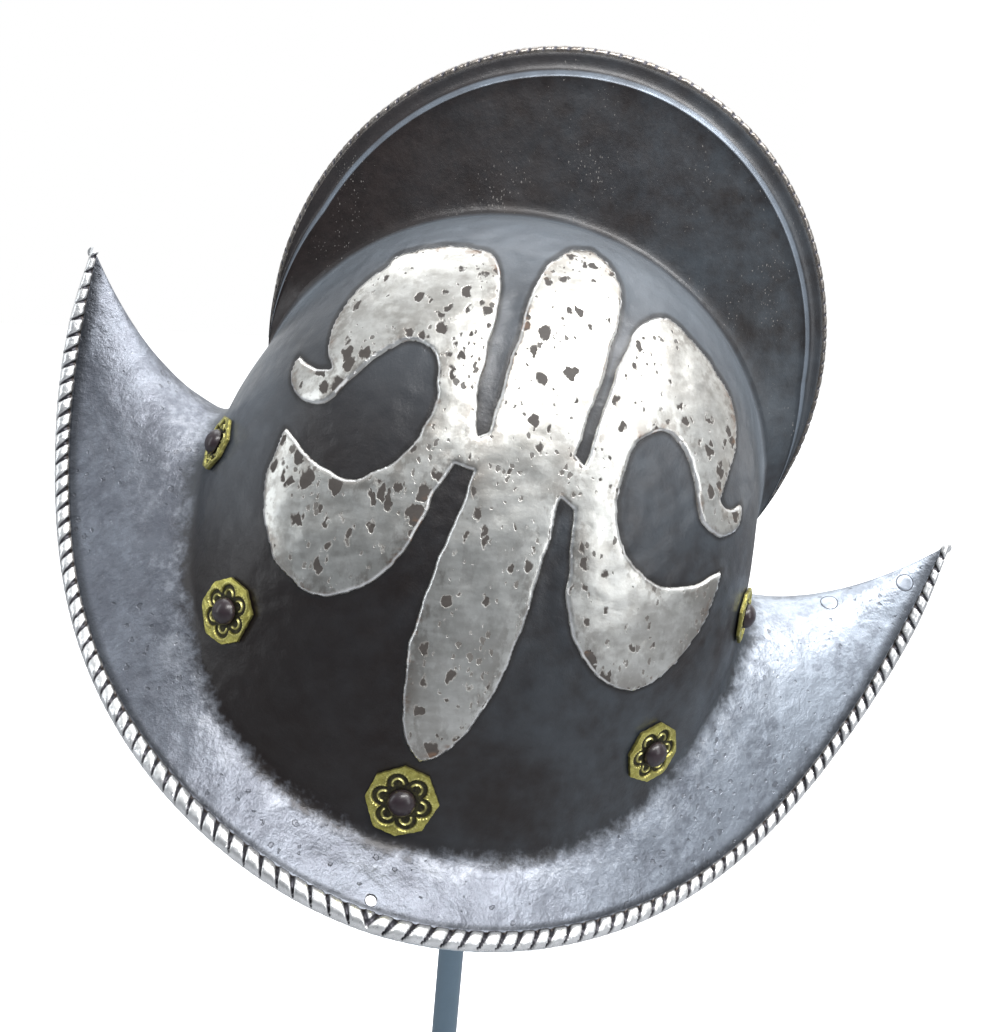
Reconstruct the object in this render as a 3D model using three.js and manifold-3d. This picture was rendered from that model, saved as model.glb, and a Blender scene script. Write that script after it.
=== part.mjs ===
// A comb morion on a plain post stand. The helmet is one raised steel plate: a skull drawn up into
// a tall hollow comb, and a brim that sweeps up to a point at each end. A raised lily stands on each
// side, ten brass rosettes with domed rivets go round the base, and the edges are turned over.
// Millimetres, +Z up. The origin is the middle of the stand's underside. +X runs along the helmet.

import * as THREE from 'three';
import { mergeVertices } from 'three/addons/utils/BufferGeometryUtils.js';
import Module from 'manifold-3d';

// ---- driving dimensions: millimetres and degrees, in the helmet's own level frame ----
const WALL = 1.2;
const GAP = 0.3;

const BRIM = { halfLength: 180, longer: 0.01, halfWidth: 119.6, planPower: 1.89, planRound: 1.04 };
const BRIM_RISE = { low: -12.4, rise: 153.8, square: 0.28, fourth: 0.14, eighth: 0.58, skew: -4.3, lift: 4 };
const BRIM_ROLL = { side: 3.3, tip: 2.2 }; // radius of the turned edge
const TIP_SHORT = 4.8; // the flat face ends this much inside each tip
const KEEL_SAG = 0.87; // how far each peak's ridge line hangs below a straight line

const BASE = { halfLength: 119.4, halfWidth: 99.6, rise: 94.5, square: 0.33, blunt: 0.086, lean: 0.007 };
const BASE_FILLET = { side: 5, end: 9 };

const CROWN = { halfLength: 105.3, height: 103, centre: 106.2, halfWidth: 7.3, fillet: 13 };
const COMB = { halfLength: 108.9, height: 114.1, centre: 160.6, endHeight: 125, edgeRoll: 3 };
const COMB_BORDER = { width: 9.5, inner: 2.4, panel: 3.1, neck: 1.8 };
const COMB_HOLLOW_TOP = 23; // from the comb's edge down to the top of its hollow

const LILY_RISE = 1.3;
const PLATE_OFF = 0.55; // a rosette's back from the skull
const PLATE_THICK = 1.2;
const FLOWER_RISE = 0.9;
// Angle round the base from the +X end, height along the skull, and width of each rosette.
const ROSETTES = [
  { angle: 24, up: 0.195, width: 22 },
  { angle: 49, up: 0.088, width: 23.8 },
  { angle: 90.5, up: 0.044, width: 26 },
  { angle: 130.5, up: 0.088, width: 23.8 },
  { angle: 156.5, up: 0.16, width: 22 },
];
const RIVET = { dome: 4.7, high: 3.4, shank: 2, hole: 2.4 };
const BRIM_HOLE = { angle: 90.3, out: 0.88, radius: 1.9 };
const PLUGS = [
  { angle: 5.5, out: 0.5 },
  { angle: 7.2, out: 0.88 },
];
const PLUG_RADIUS = 3.6;

const TILT = 14.9; // the helmet's lean on its post, the -X peak up
const POST_AT = 24.3; // the post's line, along the tilted length
const POST_RADIUS = 5.6;
const DISC = { radius: 74, thick: 12 };
const PAD = { radius: 17, thick: 7 };
const HELMET_UP = 262; // the level frame's zero height above the stand's underside

const AROUND = 38; // steps along each side
const RAD = Math.PI / 180;

// Half outlines of the lily in the side view, length against height. 'k' marks a sharp corner.
const LILY_BLADE = [
  [0, 203], [8, 200], [13.5, 194], [16, 186], [16, 172], [15.5, 150], [15, 137, 'k'],
];
const LILY_FOOT = [
  [15, 124, 'k'], [15.5, 114], [16.5, 98], [17, 84], [16.5, 70], [14.5, 55], [10, 41], [5, 33],
  [0, 30, 'k'],
];
const PETAL_RIGHT = [
  [18.5, 137, 'k'], [18.5, 148], [19, 165], [20.5, 178], [23, 185], [28, 189], [34.5, 189.5],
  [43, 186.5], [54, 180], [63, 173], [69.5, 163.5], [72, 151.5], [71, 143], [70.3, 138, 'k'],
  [75, 136], [80.5, 138.5, 'k'], [82.5, 132.5], [80.5, 127.5], [75.5, 125.5], [69, 127],
  [63.5, 131], [59.5, 138.5], [55, 146], [50, 151], [44, 153.8], [39, 152.5], [34.5, 148.5],
  [32.6, 142.5], [32.7, 134], [35.4, 124], [40.5, 115.5], [48, 110.2], [57.5, 107], [67, 108],
  [74.5, 111.5], [80.5, 115.5, 'k'], [80.3, 105], [78.5, 93], [74, 82.5], [67.5, 74], [59.5, 70],
  [49.5, 71.5], [40, 77], [33, 84.5], [27, 95.5], [23, 110], [19, 125, 'k'],
];
const PETAL_LEFT = [
  [-17.5, 134.5, 'k'], [-21.5, 146], [-23.5, 165], [-25.3, 178.5], [-28, 185.5], [-32.5, 189.3],
  [-39, 190], [-50, 186.3], [-62, 179.5], [-71, 166.5], [-76, 154.5], [-76.2, 146], [-74.5, 140],
  [-71.2, 135.8, 'k'], [-77, 133], [-84.3, 134.5, 'k'], [-85.3, 130.5], [-83.5, 125], [-79, 122],
  [-72.7, 122.5], [-68, 126], [-63.5, 134], [-59.5, 141.5], [-53.5, 149.5], [-48.5, 153.6],
  [-42.5, 154.2], [-38, 150.6], [-35.5, 143], [-34.8, 135], [-36.7, 125], [-40.7, 117], [-47, 110.4],
  [-54, 106.4], [-62.5, 106.6], [-71, 109], [-79, 111.5, 'k'], [-80.3, 104.5], [-80, 93],
  [-76.5, 84], [-71.5, 76], [-63.5, 70], [-53.5, 67.7], [-44.5, 70], [-36.5, 76], [-30.5, 84.5],
  [-26.8, 95], [-24.5, 105], [-23.3, 116], [-21.5, 123.5, 'k'],
];

// ---- curves of the plate, by angle round from the +X end; y is negative on this side ----
const V = (x, y, z) => new THREE.Vector3(x, y, z);
const lerp = (p, q, t) => p.clone().lerp(q, t);
const bend = (p, c, q, t) => lerp(lerp(p, c, t), lerp(c, q, t), t);
const ease = (x) => {
  const t = Math.min(1, Math.max(0, x));
  return t * t * (3 - 2 * t);
};

function edgeAt(angle) {
  const a = angle + 7 * RAD * Math.sin(2 * angle);
  const s = Math.cos(a);
  const m = Math.abs(s);
  const side = Math.sin(a) < 0 ? 1 : -1;
  const y = BRIM.halfWidth * Math.max(0, 1 - m ** BRIM.planPower) ** BRIM.planRound;
  const up = BRIM_RISE.square * m ** 2 + BRIM_RISE.fourth * m ** 4 + BRIM_RISE.eighth * m ** 8;
  const lean = BRIM_RISE.skew * s * (1 - s * s) + BRIM_RISE.lift * Math.max(0, s) ** 12;
  const z = BRIM_RISE.low + BRIM_RISE.rise * up + lean;
  return V(BRIM.halfLength * s * (1 + BRIM.longer * (1 + s)), side * y, z);
}

function baseAt(angle) {
  const c = Math.cos(angle);
  const z = BASE.rise * (BASE.square * c * c + (1 - BASE.square) * c ** 4);
  const x = BASE.halfLength * c * (1 - (BASE.blunt + BASE.lean * c) * c ** 8);
  return V(x, -BASE.halfWidth * Math.sin(angle), z);
}

function arcAt(curve, angle) {
  const start = Math.asin((COMB.endHeight - curve.centre) / curve.height);
  const a = start + ((Math.PI - 2 * start) * angle) / Math.PI;
  return V(curve.halfLength * Math.cos(a), 0, curve.centre + curve.height * Math.sin(a));
}

function taper(angle) {
  const end = Math.min(angle, Math.PI - angle);
  return Math.sign(end) * Math.min(1, Math.abs(end) / (15 * RAD)) ** 0.5;
}

function crownAt(angle) {
  const p = arcAt(CROWN, angle);
  p.y = -CROWN.halfWidth * taper(angle);
  return p;
}

// A point of the skull, from the base (0) to the root of the comb (1).
function skullAt(angle, t) {
  const low = baseAt(angle);
  const top = crownAt(angle);
  const c = Math.cos(angle);
  const end = c ** 8;
  const span = top.clone().sub(low);
  const rise = V((0.6 + 0.3 * c) * span.x * end, 0, 0.5523 * span.z);
  const reach = V(0, -0.5523 * span.y, 0).multiplyScalar(1 - end);
  const fall = V(Math.sign(c) * 0.19, 0, -0.98).multiplyScalar(0.35 * span.length() * end);
  const p1 = low.clone().add(rise);
  const p2 = top.clone().add(reach).add(fall);
  return new THREE.CubicBezierCurve3(low, p1, p2, top).getPoint(t);
}

// A point of the brim's upper face, from the base (0) to the turned edge (1).
function brimAt(angle, share) {
  const low = baseAt(angle);
  const out = edgeAt(angle);
  const end = Math.min(Math.abs(angle), Math.abs(Math.PI - angle));
  const held = (TIP_SHORT * (1 - ease(end / (22 * RAD)))) / low.distanceTo(out);
  const t = share * (1 - held);
  const p = lerp(low, out, t);
  const sag = KEEL_SAG * Math.cos(angle) ** 4;
  p.z = low.z + (out.z - low.z) * (t + sag * (t * t - t));
  return p;
}

// How far along a curve from its start a length falls, as a share of the curve.
const shareOf = (curve, length) => Math.min(0.45, length / curve(0).distanceTo(curve(1)));

// Stations of the outer face, from the comb's edge down to the brim's turned edge.
const SKULL_STEPS = 8;
function outerStations(angle) {
  const root = arcAt(CROWN, angle);
  const crest = arcAt(COMB, angle);
  const near = Math.abs(angle) < 1e-3 || Math.abs(Math.PI - angle) < 1e-3;
  const up = crest.clone().sub(root);
  const tall = near ? 0 : up.length();
  const axis = tall > 1e-6 ? up.normalize() : V(0, 0, 0);
  const w = taper(angle);
  const fit = Math.min(1, tall / 32);
  const on = (down, half) => {
    const p = crest.clone().addScaledVector(axis, -Math.min(down * fit, tall));
    p.y = -half * w;
    return p;
  };
  const r = COMB.edgeRoll;
  const list = [];
  for (const a of [90, 50, 15, -22, -55]) {
    list.push(on(r - r * Math.sin(a * RAD), r * Math.cos(a * RAD)));
  }
  list.push(on(2.4 * r, COMB_BORDER.neck));
  list.push(on(COMB_BORDER.width, COMB_BORDER.inner));
  list.push(on(COMB_BORDER.width + 1.4, COMB_BORDER.panel));
  const flank = (t) => {
    const from = Math.min((COMB_BORDER.width + 1.4) * fit, tall);
    const p = crest.clone().addScaledVector(axis, -(from + (tall - from) * t));
    p.y = -w * (COMB_BORDER.panel + (CROWN.halfWidth - COMB_BORDER.panel) * t ** 1.3);
    return p;
  };
  const skull = (t) => skullAt(angle, 1 - t);
  const corner = crownAt(angle);
  const clear = Math.max(0, tall - (COMB_BORDER.width + 1.4) * fit);
  const upper = flank(1 - Math.min(0.5, CROWN.fillet / Math.max(clear, 1)));
  const topShare = shareOf(skull, CROWN.fillet * Math.min(1, tall / 25)) * 0.8;
  const lower = skull(topShare);
  list.push(flank(0.45), upper);
  list.push(bend(upper, corner, lower, 0.33), bend(upper, corner, lower, 0.67), lower);
  const rise = (t) => skullAt(angle, t);
  const round = BASE_FILLET.side + (BASE_FILLET.end - BASE_FILLET.side) * Math.cos(angle) ** 8;
  const bottom = shareOf(rise, round) * 0.75;
  for (let i = 1; i <= SKULL_STEPS; i++) {
    list.push(skull(topShare + ((1 - bottom - topShare) * i) / SKULL_STEPS));
  }
  const foot = list[list.length - 1];
  const spread = Math.min(0.2, round / baseAt(angle).distanceTo(edgeAt(angle)));
  const rim = brimAt(angle, spread);
  list.push(bend(foot, baseAt(angle), rim, 0.33), bend(foot, baseAt(angle), rim, 0.67), rim);
  list.push(brimAt(angle, 0.3), brimAt(angle, 0.54), brimAt(angle, 0.78), brimAt(angle, 1));
  return list;
}
const FIRST_SKULL = 12; // the station just under the comb's root fillet

function normals(angle, list) {
  const e = 0.01;
  const flat = Math.abs(Math.sin(angle)) < 1e-6;
  const ahead = outerStations(angle + e);
  const behind = outerStations(angle - e);
  return list.map((p, j) => {
    const along = list[Math.min(j + 1, list.length - 1)].clone().sub(list[Math.max(j - 1, 0)]);
    if (flat) {
      const s = Math.sign(Math.cos(angle));
      return V(-along.z * s, 0, along.x * s).normalize();
    }
    return ahead[j].clone().sub(behind[j]).cross(along).normalize();
  });
}

// One closed section of the plate: outer face, turned edge, then the inner face back up the comb.
function section(angle) {
  const outer = outerStations(angle);
  const n = normals(angle, outer);
  const last = outer.length - 1;
  const edge = outer[last];
  const up = n[last];
  const e = 0.004;
  const tangent = brimAt(angle + e, 1).sub(brimAt(angle - e, 1));
  const ruled = edge.clone().sub(outer[last - 1]).normalize();
  const square = tangent.length() > 1e-9 ? up.clone().cross(tangent).normalize() : ruled.clone();
  if (square.dot(ruled) < 0) square.negate();
  const mix = ease(Math.min(angle, Math.PI - angle) / (25 * RAD));
  const out = ruled.clone().lerp(square, mix);
  out.addScaledVector(up, -out.dot(up)).normalize();
  const thick = BRIM_ROLL.tip + (BRIM_ROLL.side - BRIM_ROLL.tip) * ease(mix * 1.4);
  const heart = edge.clone().addScaledVector(out, thick).addScaledVector(up, -0.36 * thick);
  const roll = [145, 105, 65, 25, -15, -55, -95, -135].map((a) => {
    const p = heart.clone().addScaledVector(out, thick * Math.cos(a * RAD));
    p.addScaledVector(up, thick * Math.sin(a * RAD));
    p.y = Math.min(p.y, 0.25 * edge.y);
    return p;
  });
  const under = (j) => {
    const p = outer[j].clone().addScaledVector(n[j], -WALL);
    if (p.y > 0.35 * outer[j].y) p.y = 0.35 * outer[j].y;
    return p;
  };
  const inner = [];
  for (let j = last; j >= FIRST_SKULL; j--) {
    if (j === last - 1 || j === last - 5) continue;
    inner.push(under(j));
  }
  const root = arcAt(CROWN, angle);
  const crest = arcAt(COMB, angle);
  const probe = Math.min(Math.PI - 0.01, Math.max(0.01, angle));
  const axis = arcAt(COMB, probe).sub(arcAt(CROWN, probe)).normalize();
  const tall = crest.distanceTo(root);
  const w = taper(angle);
  const slot = Math.max(0, tall - COMB_HOLLOW_TOP);
  const deep = root.clone().addScaledVector(axis, -1.3 * WALL * (1 - Math.min(1, slot / 30)));
  const hollow = (up2, half) => {
    const p = deep.clone().addScaledVector(axis, up2);
    p.y = -half * w;
    return p;
  };
  inner.push(hollow(0, CROWN.halfWidth - WALL));
  inner.push(hollow(slot * 0.5, (CROWN.halfWidth - WALL) * 0.5 + 0.6));
  inner.push(hollow(slot, 0));
  return outer.concat(roll, inner);
}

// ---- solids ----
const wasm = await Module();
wasm.setup();

function bare(geometry) {
  const g = geometry.clone();
  for (const name of Object.keys(g.attributes)) if (name !== 'position') g.deleteAttribute(name);
  const merged = mergeVertices(g, 1e-4);
  const index = merged.index.array;
  const kept = [];
  for (let i = 0; i < index.length; i += 3) {
    const [a, b, c] = [index[i], index[i + 1], index[i + 2]];
    if (a !== b && b !== c && c !== a) kept.push(a, b, c);
  }
  merged.setIndex(kept);
  return merged;
}

function toSolid(geometry) {
  const g = bare(geometry);
  return new wasm.Manifold(
    new wasm.Mesh({
      numProp: 3,
      vertProperties: new Float32Array(g.attributes.position.array),
      triVerts: new Uint32Array(g.index.array),
    })
  );
}

function toGeometry(solid) {
  const mesh = solid.getMesh();
  const g = new THREE.BufferGeometry();
  const points = new Float32Array(mesh.numVert * 3);
  for (let i = 0; i < mesh.numVert; i++) {
    for (let k = 0; k < 3; k++) points[i * 3 + k] = mesh.vertProperties[i * mesh.numProp + k];
  }
  g.setAttribute('position', new THREE.BufferAttribute(points, 3));
  g.setIndex(Array.from(mesh.triVerts));
  g.computeVertexNormals();
  return g;
}

// Skin rings of points: each ring closes on itself when round, and the ends are capped if wanted.
function skin(rings, { roundRings, joinEnds, flip, across }) {
  const n = rings[0].length;
  const points = [];
  for (const ring of rings) for (const p of ring) points.push(p.x, p.y, p.z);
  const index = [];
  const rows = joinEnds ? rings.length : rings.length - 1;
  const cols = roundRings ? n : n - 1;
  for (let i = 0; i < rows; i++) {
    for (let j = 0; j < cols; j++) {
      const a = i * n + j;
      const b = i * n + ((j + 1) % n);
      const c = ((i + 1) % rings.length) * n + ((j + 1) % n);
      const d = ((i + 1) % rings.length) * n + j;
      if (across && across(i, j)) index.push(a, d, b, b, d, c);
      else if (flip) index.push(a, c, b, a, d, c);
      else index.push(a, b, c, a, c, d);
    }
  }
  const g = new THREE.BufferGeometry();
  g.setAttribute('position', new THREE.Float32BufferAttribute(points, 3));
  g.setIndex(index);
  return g;
}

function plate() {
  const side = [];
  for (let i = 0; i <= AROUND; i++) {
    const ring = section((Math.PI * i) / AROUND);
    if (i === 0 || i === AROUND) ring.forEach((p) => (p.y = 0));
    ring[0].y = 0;
    ring[ring.length - 1].y = 0;
    side.push(ring);
  }
  const mirror = (ring) => ring.map((p) => V(p.x, p.y === 0 ? 0 : -p.y, p.z));
  const rings = side.concat(side.slice(1, -1).reverse().map(mirror));
  // The four quarters mirror each other, and each face under the plate is split like the one above.
  const outside = outerStations(1).length + 7;
  const across = (i, j) => {
    const near = i < AROUND;
    const k = near ? i : 2 * AROUND - 1 - i;
    return ((k < AROUND / 2) === (j >= outside)) === near;
  };
  return skin(rings, { roundRings: false, joinEnds: true, flip: true, across });
}

function smooth(points) {
  // Runs between sharp corners are drawn as one curve through their points.
  const out = [];
  let run = [points[0]];
  for (let i = 1; i < points.length; i++) {
    run.push(points[i]);
    if (points[i][2] === 'k' || i === points.length - 1) {
      const curve = new THREE.CatmullRomCurve3(
        run.map((p) => V(p[0], p[1], 0)), false, 'centripetal'
      );
      const fine = curve.getPoints(run.length > 2 ? Math.ceil((run.length - 1) * 1.0) : 1);
      for (const p of fine.slice(0, -1)) out.push([p.x, p.y]);
      run = [points[i]];
    }
  }
  return out;
}

function lilyShape() {
  const mirror = (list) => list.map((p) => [-p[0], ...p.slice(1)]);
  const back = (list) => [...list].reverse();
  const outline = [
    ...smooth(LILY_BLADE),
    ...smooth(PETAL_RIGHT),
    ...smooth(LILY_FOOT),
    ...smooth(back(mirror(LILY_FOOT))),
    ...[[-15, 124]],
    ...smooth(back(PETAL_LEFT)),
    [-17.5, 134.5],
    ...smooth(back(mirror(LILY_BLADE))),
  ];
  const clean = outline.filter((p, i) => {
    const q = outline[(i + outline.length - 1) % outline.length];
    return Math.hypot(p[0] - q[0], p[1] - q[1]) > 0.4;
  });
  return new THREE.Shape(clean.map((p) => new THREE.Vector2(p[0], p[1])));
}

function lily() {
  const prism = new THREE.ExtrudeGeometry(lilyShape(), { depth: 100, bevelEnabled: false });
  prism.rotateX(Math.PI / 2);
  prism.translate(0, -20, 0);
  const rows = 16;
  const cols = 9;
  const rings = [];
  for (let i = 0; i <= rows; i++) {
    const angle = (32 + (116 * i) / rows) * RAD;
    const ring = [];
    const back = [];
    for (let j = 0; j <= cols; j++) {
      const t = 0.03 + (0.9 * j) / cols;
      const p = skullAt(angle, t);
      const across = skullAt(angle + 0.01, t).sub(skullAt(angle - 0.01, t));
      const upward = skullAt(angle, t + 0.01).sub(skullAt(angle, t - 0.01));
      const n = upward.cross(across).normalize();
      ring.push(p.clone().addScaledVector(n, LILY_RISE));
      back.unshift(p.clone().addScaledVector(n, -0.5 * WALL));
    }
    rings.push(ring.concat(back));
  }
  const n = rings[0].length;
  const body = skin(rings, { roundRings: true, joinEnds: false, flip: false });
  const index = Array.from(body.index.array);
  const base = rows * n;
  for (let j = 0; j < cols; j++) {
    const k = n - 1 - j;
    index.push(j, k, j + 1, j + 1, k, k - 1);
    index.push(base + j, base + j + 1, base + k, base + j + 1, base + k - 1, base + k);
  }
  body.setIndex(index);
  return toSolid(body).intersect(toSolid(prism));
}

function mirrored(solid) {
  const g = toGeometry(solid);
  g.scale(1, -1, 1);
  const index = Array.from(g.index.array);
  for (let i = 0; i < index.length; i += 3) [index[i], index[i + 1]] = [index[i + 1], index[i]];
  g.setIndex(index);
  return toSolid(g);
}

// A frame that sits on a face: z out of it, x along the helmet.
function frameOn(point, out) {
  const x = V(1, 0, 0).addScaledVector(out, -out.x).normalize();
  const y = out.clone().cross(x);
  return new THREE.Matrix4().makeBasis(x, y, out).setPosition(point);
}

function skullFrame(angle, t) {
  const p = skullAt(angle, t);
  const across = skullAt(angle + 0.01, t).sub(skullAt(angle - 0.01, t));
  const upward = skullAt(angle, t + 0.01).sub(skullAt(angle, t - 0.01));
  return frameOn(p, upward.cross(across).normalize());
}

function brimFrame(angle, t) {
  const p = brimAt(angle, t);
  const across = brimAt(angle + 0.01, t).sub(brimAt(angle - 0.01, t));
  const outward = brimAt(angle, t + 0.01).sub(brimAt(angle, t - 0.01));
  return frameOn(p, across.cross(outward).normalize());
}

function pin(radius, low, high, sides = 12) {
  const g = new THREE.CylinderGeometry(radius, radius, high - low, sides);
  g.rotateX(Math.PI / 2);
  g.translate(0, 0, (low + high) / 2);
  return g;
}

// A hand-cut eight-sided brass plate with a raised flower, bent to the skull under it.
function rosette(width, frame) {
  const inverse = frame.clone().invert();
  const steps = 16;
  const hole = RIVET.hole;
  const half = width / 2;
  const bow = (x, y) => -(x * x) / (2 * 98) - (y * y) / (2 * 260);
  const rim = (k) => (k % 2 === 0 ? half : half * 0.955);
  const rings = [
    [(k) => hole, 0],
    [(k) => rim(k), 0],
    [(k) => rim(k), PLATE_THICK * 0.8],
    [(k) => half * 0.76, PLATE_THICK],
    [(k) => half * (k % 2 === 0 ? 0.66 : 0.6), PLATE_THICK + FLOWER_RISE],
    [(k) => half * 0.42, PLATE_THICK + FLOWER_RISE * 0.3],
    [(k) => hole, PLATE_THICK + FLOWER_RISE * 0.3],
  ].map(([radius, high]) => {
    const ring = [];
    for (let k = 0; k < steps; k++) {
      const a = (2 * Math.PI * (k + 0.5)) / steps;
      const r = radius(k);
      const x = r * Math.cos(a);
      const y = r * Math.sin(a);
      ring.push(V(x, y, PLATE_OFF + high + bow(x, y)));
    }
    return ring;
  });
  return skin(rings, { roundRings: true, joinEnds: true, flip: false });
}

// A domed rivet: round head over the plate, a shank through the skull, a small flat head inside.
function rivet() {
  const seat = PLATE_OFF + PLATE_THICK + FLOWER_RISE * 0.3 + GAP;
  const inside = -(WALL + 2 * GAP);
  const profile = [[0, inside - 1.2], [3.4, inside - 1.2], [3.4, inside], [RIVET.shank, inside]];
  profile.push([RIVET.shank, seat], [RIVET.dome, seat]);
  for (const a of [20, 45, 70]) {
    profile.push([RIVET.dome * Math.cos(a * RAD), seat + RIVET.high * Math.sin(a * RAD)]);
  }
  profile.push([0, seat + RIVET.high]);
  const g = new THREE.LatheGeometry(profile.map((p) => new THREE.Vector2(p[0], p[1])), 12);
  g.rotateX(Math.PI / 2);
  return bare(g);
}

const look = (color, roughness, metalness) =>
  new THREE.MeshStandardMaterial({ color, roughness, metalness });
const STEEL = look(0x4c4b4e, 0.42, 0.9);
const BRASS = look(0xa69a45, 0.4, 0.9);
const DARK = look(0x2b262b, 0.3, 0.8);
const POST = look(0x73808c, 0.45, 0.8);
const PALE = look(0x9aa0a8, 0.45, 0.9);

function named(name, geometry, material, frame) {
  const mesh = new THREE.Mesh(geometry, material);
  mesh.name = name;
  if (frame) mesh.applyMatrix4(frame);
  return mesh;
}

const helmet = new THREE.Group();
helmet.rotation.y = TILT * RAD;
helmet.position.set(-POST_AT, 0, HELMET_UP);

const flowers = [];
for (const side of [1, -1]) {
  for (const r of ROSETTES) {
    const frame = skullFrame(r.angle * RAD, r.up);
    if (side < 0) {
      const spot = V(0, 0, 0).setFromMatrixPosition(frame);
      const out = V(0, 0, 0).setFromMatrixColumn(frame, 2);
      flowers.push({ ...r, frame: frameOn(V(spot.x, -spot.y, spot.z), V(out.x, -out.y, out.z)) });
    } else flowers.push({ ...r, frame });
  }
}

const raised = lily();
let shell = toSolid(plate()).add(raised).add(mirrored(raised));
for (const f of flowers) {
  shell = shell.subtract(toSolid(pin(RIVET.hole, -6, 6).applyMatrix4(f.frame)));
}
const hole = brimFrame(BRIM_HOLE.angle * RAD, BRIM_HOLE.out);
shell = shell.subtract(toSolid(pin(BRIM_HOLE.radius, -8, 8).applyMatrix4(hole)));
const plugs = PLUGS.map((p) => {
  const frame = brimFrame(p.angle * RAD, p.out);
  const fill = shell.intersect(toSolid(pin(PLUG_RADIUS - GAP, -2.6, 2, 16).applyMatrix4(frame)));
  shell = shell.subtract(toSolid(pin(PLUG_RADIUS, -2.8, 2.2, 16).applyMatrix4(frame)));
  return fill.decompose().sort((a, b) => b.volume() - a.volume())[0];
});
helmet.add(named('helmet_shell', toGeometry(shell), STEEL));
flowers.forEach((f, i) => {
  const mark = String(i + 1).padStart(2, '0');
  helmet.add(named(`rosette_${mark}`, bare(rosette(f.width, f.frame)), BRASS, f.frame));
  helmet.add(named(`rivet_${mark}`, rivet(), DARK, f.frame));
});
plugs.forEach((fill, i) => {
  helmet.add(named(`brim_plug_${i + 1}`, toGeometry(fill), STEEL));
});

// The stand: a round foot, a rod, and a small round pad under the crown.
const CROWN_INSIDE = 465.4; // the pad's top, above the stand's underside
const stand = new THREE.Group();
const foot = new THREE.LatheGeometry(
  [[0, 0], [DISC.radius, 0], [DISC.radius, DISC.thick - 2], [DISC.radius - 2, DISC.thick],
    [0, DISC.thick]].map((p) => new THREE.Vector2(p[0], p[1])), 48
);
foot.rotateX(Math.PI / 2);
stand.add(named('stand_base', bare(foot), POST));
const padLow = CROWN_INSIDE - PAD.thick;
stand.add(named('stand_post', bare(pin(POST_RADIUS, DISC.thick + GAP, padLow - GAP, 24)), POST));
const pad = new THREE.LatheGeometry(
  [[0, padLow], [PAD.radius, padLow], [PAD.radius, CROWN_INSIDE - 3], [PAD.radius - 3, CROWN_INSIDE],
    [0, CROWN_INSIDE]].map((p) => new THREE.Vector2(p[0], p[1])), 24
);
pad.rotateX(Math.PI / 2);
stand.add(named('stand_pad', bare(pad), DARK));

const morion = new THREE.Group();
morion.add(helmet, stand);
export default morion;
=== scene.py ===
"""Finishes a comb morion on its post stand: plate, roped edges, lilies, rosettes, rivets, stand."""

import math

import bpy
import numpy as np
from mathutils import Matrix, Vector, noise
from mathutils.bvhtree import BVHTree
from mathutils.geometry import delaunay_2d_cdt


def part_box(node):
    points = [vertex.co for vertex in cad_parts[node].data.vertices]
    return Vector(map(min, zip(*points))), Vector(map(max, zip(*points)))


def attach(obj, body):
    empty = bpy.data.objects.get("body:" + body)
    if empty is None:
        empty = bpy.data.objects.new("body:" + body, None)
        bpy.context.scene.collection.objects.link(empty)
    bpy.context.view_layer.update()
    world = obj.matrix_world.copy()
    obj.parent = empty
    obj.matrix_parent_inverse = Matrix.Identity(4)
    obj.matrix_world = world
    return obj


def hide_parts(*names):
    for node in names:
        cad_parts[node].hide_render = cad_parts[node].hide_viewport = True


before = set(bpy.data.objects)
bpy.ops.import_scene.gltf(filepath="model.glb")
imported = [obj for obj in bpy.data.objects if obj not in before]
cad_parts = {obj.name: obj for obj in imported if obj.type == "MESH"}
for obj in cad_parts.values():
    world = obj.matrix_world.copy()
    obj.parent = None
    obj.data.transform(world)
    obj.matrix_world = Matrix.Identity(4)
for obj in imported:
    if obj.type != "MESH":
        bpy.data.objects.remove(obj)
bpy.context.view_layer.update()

bl_info = {
    "name": "Comb Morion",
    "version": (1, 0, 0),
    "blender": (4, 5, 0),
    "location": "View3D > Sidebar > Morion",
    "description": "Builds the finished helmet, its rosettes and its stand",
    "category": "Object",
}

# ---- the helmet's own level frame: millimetres and degrees, as in the solids ----
TILT = math.radians(14.9)
POST_AT = 24.3
HELMET_UP = 262.0
WALL = 1.2

BRIM_LENGTH, BRIM_LONGER, BRIM_WIDTH, PLAN_POWER, PLAN_ROUND = 180.0, 0.01, 119.6, 1.89, 1.04
RISE = {
    "low": -12.4, "rise": 153.8, "square": 0.28, "fourth": 0.14, "eighth": 0.58, "skew": -4.3, "lift": 4.0,
}
ROLL_SIDE, ROLL_TIP, TIP_SHORT, KEEL_SAG = 3.3, 2.2, 4.8, 0.87
BASE_LENGTH, BASE_WIDTH, BASE_RISE, BASE_SQUARE = 119.4, 99.6, 94.5, 0.33
BASE_BLUNT, BASE_LEAN, FILLET_SIDE, FILLET_END = 0.086, 0.007, 5.0, 9.0
END_HEIGHT = 125.0
CROWN = {"length": 105.3, "height": 103.0, "centre": 106.2}
COMB = {"length": 108.9, "height": 114.1, "centre": 160.6}
CROWN_HALF, PANEL_HALF, COMB_HOLLOW_TOP = 7.3, 3.3, 23.0
PANEL_DOWN = 12.4  # from the comb's edge down to the flat of its panel
PLATE_OFF, PLATE_THICK = 0.55, 1.2
ROSETTES = [(24, 0.195, 22), (49, 0.088, 23.8), (90.5, 0.044, 26), (130.5, 0.088, 23.8), (156.5, 0.16, 22)]
BRIM_HOLE = (90.3, 0.88, 1.9)
PLUGS = [(5.5, 0.5), (7.2, 0.88)]
PLUG_RADIUS = 3.55
GAP = 0.3

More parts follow.
